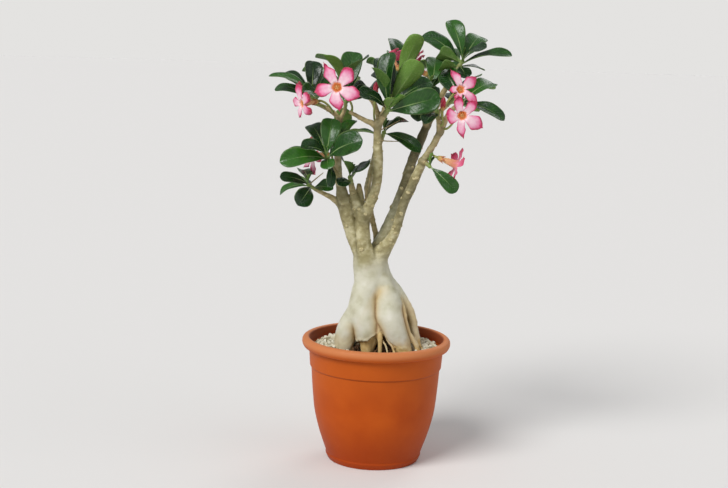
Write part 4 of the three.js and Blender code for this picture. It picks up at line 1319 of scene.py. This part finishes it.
def bed_of(name, holds):
    """A thin mesh of small cells where a bed of stones lies, as a guide for scattering them."""
    marks = np.arange(-90, 90, BED_CELL)
    x, y = (grid.ravel() for grid in np.meshgrid(marks, marks))
    corners = np.column_stack([x, y, np.full(len(x), GRAVEL_BED)])
    kept = holds(corners)
    corners[:, 2] = gravel_height(corners)
    skin = Skin()
    skin.add(corners, [cell for cell in grid_faces(len(marks), len(marks)) if kept[list(cell)].all()])
    return skin.build(name)


def beyond_the_bare_soil(corners):
    """How far corners lie outside the oval of bare soil, below 0 inside it."""
    wide = (corners[:, 0] - BARE_SOIL["x"]) / (BARE_SOIL["width"] / 2)
    deep = (corners[:, 1] - BARE_SOIL["y"]) / (BARE_SOIL["depth"] / 2)
    return (np.hypot(wide, deep) - 1) * BARE_SOIL["depth"] / 2


def round_the_roots(corners):
    outside = wood_around(corners, roots)[0]
    bare = beyond_the_bare_soil(corners) + 4 * lumps(corners, 9, seed=4)
    away = np.hypot(corners[:, 0], corners[:, 1])
    return (outside > 1.2) & (away < inner_radius(GRAVEL_BED) - 3) & (bare > 1)


def on_bare_soil(corners):
    outside = wood_around(corners, roots)[0]
    return (beyond_the_bare_soil(corners) < 8) & (outside > 0)


def scattered(piece, finish, size, apart, drop, seed):
    """Scatters angular stones over a guide mesh, in a few layers. The guide itself isn't kept."""
    sizes = {"Stone": size * MM, "Apart": apart * MM, "Drop": drop * MM, "Roughness": 0.22, "Seed": seed}
    tree, given = node_group(piece, "scattered stones", **sizes)
    corners = {"Size": (1, 1, 1), "Vertices X": 3, "Vertices Y": 3, "Vertices Z": 3}
    cube = flow(tree, "GeometryNodeMeshCube", corners, "Mesh")
    corner = flow(tree, "GeometryNodeInputPosition")
    ball = scaled(steer("NORMALIZE", corner), 0.5)
    pebble = flow(tree, "ShaderNodeMix", {0: STONE_ROUNDNESS, 4: corner, 5: ball}, 1, data_type="VECTOR")
    layers = []
    for layer in range(STONE_LAYERS):
        inputs = {
            "Mesh": given["Geometry"], "Distance Min": given["Apart"], "Density Max": 90000.0,
            "Seed": given["Seed"] + layer,
        }
        spread = "GeometryNodeDistributePointsOnFaces"
        points = flow(tree, spread, inputs, "Points", distribute_method="POISSON")
        lift = flow(tree, "ShaderNodeCombineXYZ", {2: given["Drop"] * (0.3 - layer)})
        layers.append(moved(points, Offset=lift))
    chance = "FunctionNodeRandomValue"
    turns = {"Min": (0, 0, 0), "Max": (6.28, 6.28, 6.28), "Seed": 3}
    turn = flow(tree, chance, turns, data_type="FLOAT_VECTOR")
    forms = {"Min": (0.55, 0.7, 0.5), "Max": (1.2, 1.35, 1.0), "Seed": 4}
    form = flow(tree, chance, forms, data_type="FLOAT_VECTOR")
    stone = moved(cube, Position=pebble)
    placed = set_on(gathered(*layers), stone, Rotation=turn, Scale=scaled(form, given["Stone"]))
    tone = flow(tree, chance, {2: 0.0, 3: 1.0, "Seed": 5}, 1, data_type="FLOAT")
    real = realized(stored(placed, "tone", tone, domain="INSTANCE"))
    dents = flow(tree, "ShaderNodeTexNoise", {"Scale": 0.45 / (size * MM), "Detail": 1.0}, "Color")
    dents = scaled(steer("SUBTRACT", dents, (0.5, 0.5, 0.5)), given["Stone"] * given["Roughness"] * 2)
    handed_over(moved(real, Offset=dents), finish, smooth=False)
    return settled(piece)


def gravel_finish():
    """Dull off-white stone chips, some stained by the soil."""
    made, tree = new_finish("gravel_stone", 0.8)
    [tone] = read(tree, "tone")
    stone = ramp(tone, (0.0, "#9c8f70"), (0.2, "#c4bca0"), (0.6, "#d6d0b8"), (1.0, "#e8e3d0"))
    stain = rise(mottle(tree, 5, detail=4, rough=0.65), 0.55, 0.75)
    return coated(made, blend(stain * 0.3, stone, "#9a8058"), mottle(tree, 1.0, detail=4), 0.4)


# Blooms


def bloom_axes(faces):
    """The way a bloom faces, its right and its up."""
    out = heading(*faces)
    up = flattened(np.array([0, 0, 1]), out)
    return out, np.cross(up, out), up


def round_axis(faces, radius, angle, height):
    """Points round a bloom's axis: a radius and an angle round it, and a height along it."""
    out, right, up = bloom_axes(faces)
    across = np.multiply.outer(np.cos(angle) * radius, right) + np.multiply.outer(np.sin(angle) * radius, up)
    return across + np.multiply.outer(height + 0 * radius, out)


def petal(s, a, stretch, breadth, tongue, draw):
    """A petal's points: how far out from the axis and how far sideways they lie, and how high.

    s runs along the petal from 0 to 1, and a across it from -1 to 1."""
    lean, curl, skew = draw.uniform(-0.8, 2.4), draw.uniform(1.0, 5.0), draw.uniform(-3.5, 3.5)
    side = np.abs(a)
    ragged = np.sin(12 * s + np.where(a > 0, *draw.uniform(0, 6, 2))) * np.clip(2 * s - 0.5, 0, 1)
    slimmed = np.interp(s, [0, 0.3], [1, breadth]) * np.interp(s, [0.5, 0.8], [1, 1 - 0.62 * tongue])
    half = graph(s, PETAL_OUTLINE) * slimmed
    foot = MOUTH_RADIUS * math.cos(math.pi / PETALS)
    along = foot + s * (PETAL_REACH * stretch - foot)
    bulge = (MOUTH_RADIUS * np.cos(math.pi / PETALS * a) - foot) * np.clip(1 - s / 0.35, 0, 1)
    sideways = half * (1 + 0.07 * ragged) * np.sin(a * 1.15) / math.sin(1.15) + skew * s**3
    point = np.clip(1 - side, 0, 1) ** 1.5 * np.clip(s - 0.8, 0, 1) * 9 * draw.uniform(0.3, 2.0)
    waves = np.sin(a * 3.1 + draw.uniform(0, 6)) * side**2 * draw.uniform(1.0, 2.8)
    ruffle = np.sin(s * 11 + 3 * a + draw.uniform(0, 6)) * side**3 * 1.3
    flare = 0.6 * np.minimum(s / 0.12, 1) + lean * s - curl * np.clip(s - 0.45, 0, 1) ** 2 * 3.2
    cup = 1.3 * side**2 * s * draw.uniform(-0.4, 1)
    height = -0.6 + flare + cup + 1.5 * a * np.minimum(s, 0.7) + s * (waves + ruffle)
    height -= draw.uniform(0, 3.5) * side**3 * s
    height -= 1.1 * np.exp(-((a / 0.12) ** 2)) * np.clip(s * (1 - s) * 2.2, 0, 1) * 0.5
    return along + bulge + point, sideways, height


def bloom(number, mouth, faces, turn, size, finishes):
    """A trumpet whose throat opens into five petals, as one sheet with a face and a back."""
    draw = np.random.default_rng(300 + number)
    skin = Skin("reach", "across", "shade")
    start = np.radians(turn)

    def at(radius, angle, height):
        return np.array(mouth) + size * round_axis(faces, radius, angle, height)

    ring = np.radians(turn - 180 / PETALS) + circle(PETALS * PETAL_COLUMNS)
    wave = np.cos(PETALS * (ring - start))
    rows = [at(radius * (1 + PLEAT * wave * min(1, radius / 6)), ring, height) for radius, height in THROAT]
    depth = np.repeat([height / TRUMPET for _, height in THROAT], len(ring))
    throat_faces = facing_back(grid_faces(len(THROAT), len(ring), around=True))
    across = np.tile(wave, len(THROAT))
    skin.add(np.concatenate(rows), throat_faces, reach=depth, across=across, shade=draw.uniform())
    drawn = [
        [draw.uniform(-8, 8), draw.uniform(0.85, 1.12), draw.uniform(0.55, 0.9), draw.uniform() ** 2]
        for _ in range(PETALS)
    ]
    steps, columns = [0, *np.linspace(0.05, 1, 15)], np.linspace(-1, 1, PETAL_COLUMNS + 1)
    petal_faces = facing_back(grid_faces(len(steps), len(columns)))
    s, a = (grid.ravel() for grid in np.meshgrid(steps, columns, indexing="ij"))
    base = s == 0
    for k, (swing, *form) in enumerate(PETAL_FORMS.get(number, drawn)):
        inward, sideways, height = petal(s, a, *form, draw)
        radius = np.hypot(inward, sideways)
        angle = np.radians(turn + 360 / PETALS * k) + np.radians(swing) * s + np.arctan2(sideways, inward)
        rim = (k * PETAL_COLUMNS + np.arange(len(columns))) % len(ring)
        radius[base], angle[base] = MOUTH_RADIUS * (1 + PLEAT * wave[rim]), ring[rim]
        height[base] = THROAT[-1][1]
        skin.add(at(radius, angle, height), petal_faces, reach=s, across=a, shade=draw.uniform())
    anthers(skin, at, start, draw)
    piece = merged(skin.build(f"bloom_{number}", *finishes), gap=0.03, outwards=False)
    wall = piece.modifiers.new("petal_wall", "SOLIDIFY")
    wall.thickness, wall.offset = PETAL_WALL * size * MM, -1
    wall.material_offset = wall.material_offset_rim = PETAL_BACK
    wall.use_even_offset = False
    return settled(piece)


def anthers(skin, at, start, draw):
    """The cone of five anthers that fills the throat, and the thin awn that each of them bears."""
    turns = circle(30)
    depths = np.linspace(-13, -3, 9)
    radii = np.interp(depths, [-13, -9, -6, -3], [3.6, 4.3, 4.2, 0.4])
    ridges = 1 + 0.08 * np.cos(PETALS * (turns - start))
    rows = [at(r * ridges, turns + 0.05 * k, depth) for k, (r, depth) in enumerate(zip(radii, depths))]
    skin.add(np.concatenate(rows), grid_faces(len(rows), len(turns), around=True), ANTHERS, reach=-0.3)
    t = np.linspace(0, 1, 6)
    for k in range(PETALS):
        spin = start + math.radians(360 / PETALS * k) + 0.9 * t + draw.uniform(-0.1, 0.1)
        path = at(3.0 * (1 - t) ** 0.7 + 0.4 + 1.8 * t**3, spin, 7 * t - 8)
        skin.add_tube(path, 1 - 0.7 * t, sides=5, finish=ANTHERS, reach=-0.3)


def petal_face_finish():
    """Velvety petal: pale pink by the throat and crimson along its edge. The throat's emission is painted
    light in its shade.
    """
    made, tree = new_finish("petal_face", 0.55, Sheen_Weight=0.25, Sheen_Roughness=0.5)
    reach, across, shade = read(tree, "reach", "across", "shade")
    side = abs(across)
    blotch = (mottle(tree, 5, detail=3) - 0.5) * 0.42
    outward = calc("MAXIMUM", reach, 0) ** 3 * 0.85
    edge = side**3.2 * (reach * 0.75 + 0.3)
    depth = outward + edge + blotch + (shade - 0.5) * 0.12
    pink = ramp(
        depth, (0.0, "#f4c9d6"), (0.14, "#efaec6"), (0.32, "#e87ca6"), (0.52, "#d12f6a"), (0.85, "#b01040"))
    pink = blend(rise(mottle(tree, 2.2), 0.55, 0.75) * 0.15, pink, "#f7e3ea")
    pink = blend(rise(reach, 0.22, 0.02) * rise(side, 1, 0.6) * 0.6, pink, "#fae2e4")
    throat = ramp(mottle(tree, 2.5), (0.3, "#d98650"), (0.7, "#ebb67a"))
    stripe = abs(calc("SINE", across * 9)) ** 5
    throat = blend(stripe * 0.35, throat, "#c4404a")
    inside = rise(reach, -0.03, -0.19)
    # The throat's emission is painted light, which lifts the shade deep in the tube.
    throat_painted_light = {"Emission_Color": throat, "Emission_Strength": inside * 0.4}
    return coated(made, blend(inside, pink, throat), mottle(tree, 1.6), 0.12, **throat_painted_light)


def petal_back_finish():
    """The outside of the trumpet: peach on its tube, pink to crimson towards the tips of the petals."""
    made, tree = new_finish("petal_back", 0.55, Sheen_Weight=0.2, Sheen_Roughness=0.5)
    reach, across = read(tree, "reach", "across")
    spot = (reach + 1) * 0.5 + (mottle(tree, 5, detail=3) - 0.5) * 0.3
    base = ramp(
        spot, (0.0, "#b7a05a"), (0.14, "#eebb7c"), (0.4, "#ec9f78"), (0.54, "#ec88a9"), (0.72, "#e75f8f"),
        (1.0, "#d0365f"))
    return coated(made, blend(abs(across) ** 4 * 0.25, base, "#e88fa0"), mottle(tree, 1.6), 0.12)


def anther_finish():
    made, tree = new_finish("anther_cream", 0.6)
    base = ramp(mottle(tree, 2), (0.3, "#c98748"), (0.7, "#dfb272"))
    return coated(made, base, mottle(tree, 0.8), 0.1)


# Stalks and buds


def seat_of(source, target):
    """The point of the nearest branch or twig's bark from which a stalk grows towards a target."""
    best = None
    for limb in branches + list(twigs.values()):
        t = np.linspace(0, 1, 101)
        spots = limb.at(t)
        away = np.linalg.norm(spots - source, axis=1)
        k = int(away.argmin())
        if best is None or away[k] < best[0]:
            best = away[k], limb, t[k], spots[k]
    _, limb, t, middle = best
    aim = flattened(np.asarray(target, float) - middle, limb.way(min(max(t, 0.006), 0.994)))
    return middle + (limb.radius(t) - 0.4) * aim, aim


def stalk(name, foot, faces, source, size, finish):
    """A curved green stalk with a cup of five pointed sepals."""
    out = heading(*faces)
    foot, source = np.asarray(foot, float), np.asarray(source, float)
    cup_foot = foot - 3.5 * size * out
    root, aim = seat_of(source, cup_foot)
    reach = np.linalg.norm(cup_foot - root) / 3
    steps = np.linspace(0, 1, 18)
    t = steps[:, None]
    bends = (root, root + reach * aim, cup_foot - reach * out, cup_foot)
    weights = ((1 - t) ** 3, 3 * t * (1 - t) ** 2, 3 * t**2 * (1 - t), t**3)
    path = sum(weight * bend for weight, bend in zip(weights, bends))
    skin = Skin("cup")
    radii = STALK_RADIUS * (1 + 0.5 * np.exp(-18 * steps) + 0.25 * steps**4)
    skin.add_tube(path, radii, sides=10, cup=0.35 * steps)
    columns = 12
    turns = circle(PETALS * columns)
    tooth = 1 - np.abs(2 * (np.arange(len(turns)) % columns) / columns - 1)
    rows, stretch = [], []
    for level in np.linspace(0, 1, 9):
        height = -3.6 + level * (6.0 + 6.4 * tooth**1.25)
        radius = np.interp(height, [-3.6, -1.8, 1, 4, 9], [1.3, 3.2, 4.1, 4.7, 6.0])
        rows.append(foot + size * round_axis(faces, radius, turns, height))
        stretch.append(level * (0.55 + 0.45 * tooth))
    cup_faces = grid_faces(len(rows), len(turns), around=True)
    skin.add(np.concatenate(rows), cup_faces, cup=0.35 + 0.65 * np.concatenate(stretch))
    piece = skin.build(name, finish)
    wall = piece.modifiers.new("sepal_wall", "SOLIDIFY")
    wall.thickness, wall.offset = SEPAL_WALL * size * MM, -1
    return settled(piece)


def stalk_finish():
    """Dull pale green, which turns red towards the tips of the sepals."""
    made, tree = new_finish("stalk_green", 0.55)
    [cup] = read(tree, "cup")
    tone = cup + (mottle(tree, 3) - 0.5) * 0.3
    base = ramp(tone, (0.0, "#8f9a55"), (0.4, "#a3a45a"), (0.7, "#e0aa66"), (0.98, "#c4503f"))
    return coated(made, base, mottle(tree, 1.5), 0.2)


def bud(number, foot, faces, finish):
    """A closed bud: five folded petals twisted into a spindle with a point."""
    turns = circle(40)
    rows, folds = [], []
    for share in np.linspace(0, 0.99, 26):
        radius = np.interp(share, [0, 0.12, 0.35, 0.55, 0.75, 0.9, 1], [1.4, 2.2, 3.1, 3.5, 2.8, 1.6, 0.15])
        fold = np.cos(PETALS * (turns - 2.2 * share))
        ridge = radius * (1 + 0.11 * fold * math.sin(math.pi * share))
        rows.append(np.asarray(foot) + round_axis(faces, ridge, turns, share * BUD_LENGTH))
        folds.append(fold)
    skin = Skin("along", "fold")
    along = np.repeat(np.linspace(0, 1, len(rows)), len(turns))
    faces_round = closed_faces(len(rows), len(turns))
    skin.add(np.concatenate(rows), faces_round, along=along, fold=np.concatenate(folds))
    return skin.build(f"bud_{number}", finish)


def bud_finish():
    made, tree = new_finish("bud_crimson", 0.5, Sheen_Weight=0.2, Sheen_Roughness=0.5)
    along, fold = read(tree, "along", "fold")
    base = ramp(along, (0.0, "#c98d5a"), (0.22, "#c2374b"), (0.7, "#a81a34"), (1.0, "#8e1230"))
    return coated(made, blend(rise(fold, 0.2, 1) * 0.35, base, "#e0607a"), mottle(tree, 1.5), 0.15)


# The whole plant in its pot


def grow():
    dressed(pot(), "pot", "pot")
    crumbs = scattered(bed_of("crumbs", on_bare_soil), soil_finish(), size=3.2, apart=2.6, drop=1.0, seed=21)
    dressed(joined([soil(), crumbs]), "soil", "soil")
    bed = bed_of("gravel_stones", round_the_roots)
    dressed(scattered(bed, gravel_finish(), size=6.2, apart=4.9, drop=2.6, seed=11), "gravel", "gravel")
    dressed(wood(), "bark", "stem_and_roots")
    dressed(rootlets(), "bark")
    dressed(scars(), "bark")
    green, shoot_green = leaf_finish(), shoot_finish()
    for number, name in enumerate(ROSETTES):
        dressed(rosette(name, green, shoot_green, number), "leaf", f"leaves_{name}")
    finishes = petal_face_finish(), petal_back_finish(), anther_finish()
    green_stalk, crimson = stalk_finish(), bud_finish()
    for number, row in enumerate(BLOOMS, 1):
        trumpet = bloom(number, row["mouth"], row["faces"], row["turn"], row["size"], finishes)
        dressed(trumpet, "petal", f"bloom_{number}_trumpet")
        foot = np.array(row["mouth"]) - TRUMPET * row["size"] * heading(*row["faces"])
        holder = stalk(f"bloom_{number}_stem", foot, row["faces"], row["from"], row["size"], green_stalk)
        dressed(holder, "stalk", f"bloom_{number}_stalk")
    for number, row in enumerate(BUDS, 1):
        dressed(bud(number, row["foot"], row["faces"], crimson), "bud", f"bud_{number}_tip")
        holder = stalk(f"bud_{number}_stem", row["foot"], row["faces"], row["from"], BUD_CUP, green_stalk)
        dressed(holder, "stalk", f"bud_{number}_stalk")


grow()


# Floor, light and camera


def floor():
    """A wide pale floor."""
    made, _ = new_finish("pale_floor", 0.9, Specular_IOR_Level=0.0, Base_Color=colour("#e6e4e1"))
    bpy.ops.mesh.primitive_circle_add(vertices=96, radius=30, fill_type="NGON")
    disc = bpy.context.object
    disc.name = "studio_floor"
    disc.data.materials.append(made)


def soft_sun(name, way, strength, width):
    """Light that falls from one way all over the scene, as soft as its width in degrees."""
    light = bpy.data.lights.new(name, "SUN")
    light.energy, light.angle = strength, math.radians(width)
    lamp = linked(bpy.data.objects.new(name, light))
    lamp.rotation_euler = Vector(way).to_track_quat("Z", "Y").to_euler()


def studio_air():
    """Soft light from all round. The backdrop that the camera sees is as pale as the floor."""
    world = bpy.data.worlds.new("studio_air")
    world.use_nodes = True
    tree = world.node_tree
    soft, backdrop = (0.32, 0.325, 0.34, 1), (0.775, 0.766, 0.752, 1)
    air = blend(flow(tree, "ShaderNodeLightPath", output="Is Camera Ray"), soft, backdrop)
    tree.links.new(air.socket, tree.nodes["Background"].inputs["Color"])
    bpy.context.scene.world = world


def camera():
    """The camera of the photograph."""
    lens = bpy.data.cameras.new("photo_view")
    lens.sensor_width = SENSOR
    lens.lens = FOCAL_PIXELS / PHOTO_WIDTH * SENSOR
    view = linked(bpy.data.objects.new("photo_view", lens))
    ahead = Vector((math.sin(PAN) * math.cos(TILT), math.cos(PAN) * math.cos(TILT), -math.sin(TILT)))
    level = Vector((math.cos(PAN), -math.sin(PAN), 0))
    above = level.cross(ahead)
    right = level * math.cos(ROLL) + above * math.sin(ROLL)
    up = above * math.cos(ROLL) - level * math.sin(ROLL)
    turn = Matrix((right, up, -ahead)).transposed().to_4x4()
    view.matrix_world = Matrix.Translation((0, -CAMERA_AWAY, CAMERA_HEIGHT)) @ turn
    bpy.context.scene.camera = view


floor()
soft_sun("key", (-0.8, -1, 1.2), strength=2.35, width=30)
soft_sun("side", (1.2, -0.5, 0.7), strength=0.3, width=50)
soft_sun("rim", (0.5, 1, 0.9), strength=0.5, width=30)
camera()
studio_air()
bpy.context.scene.view_settings.view_transform = "Standard"
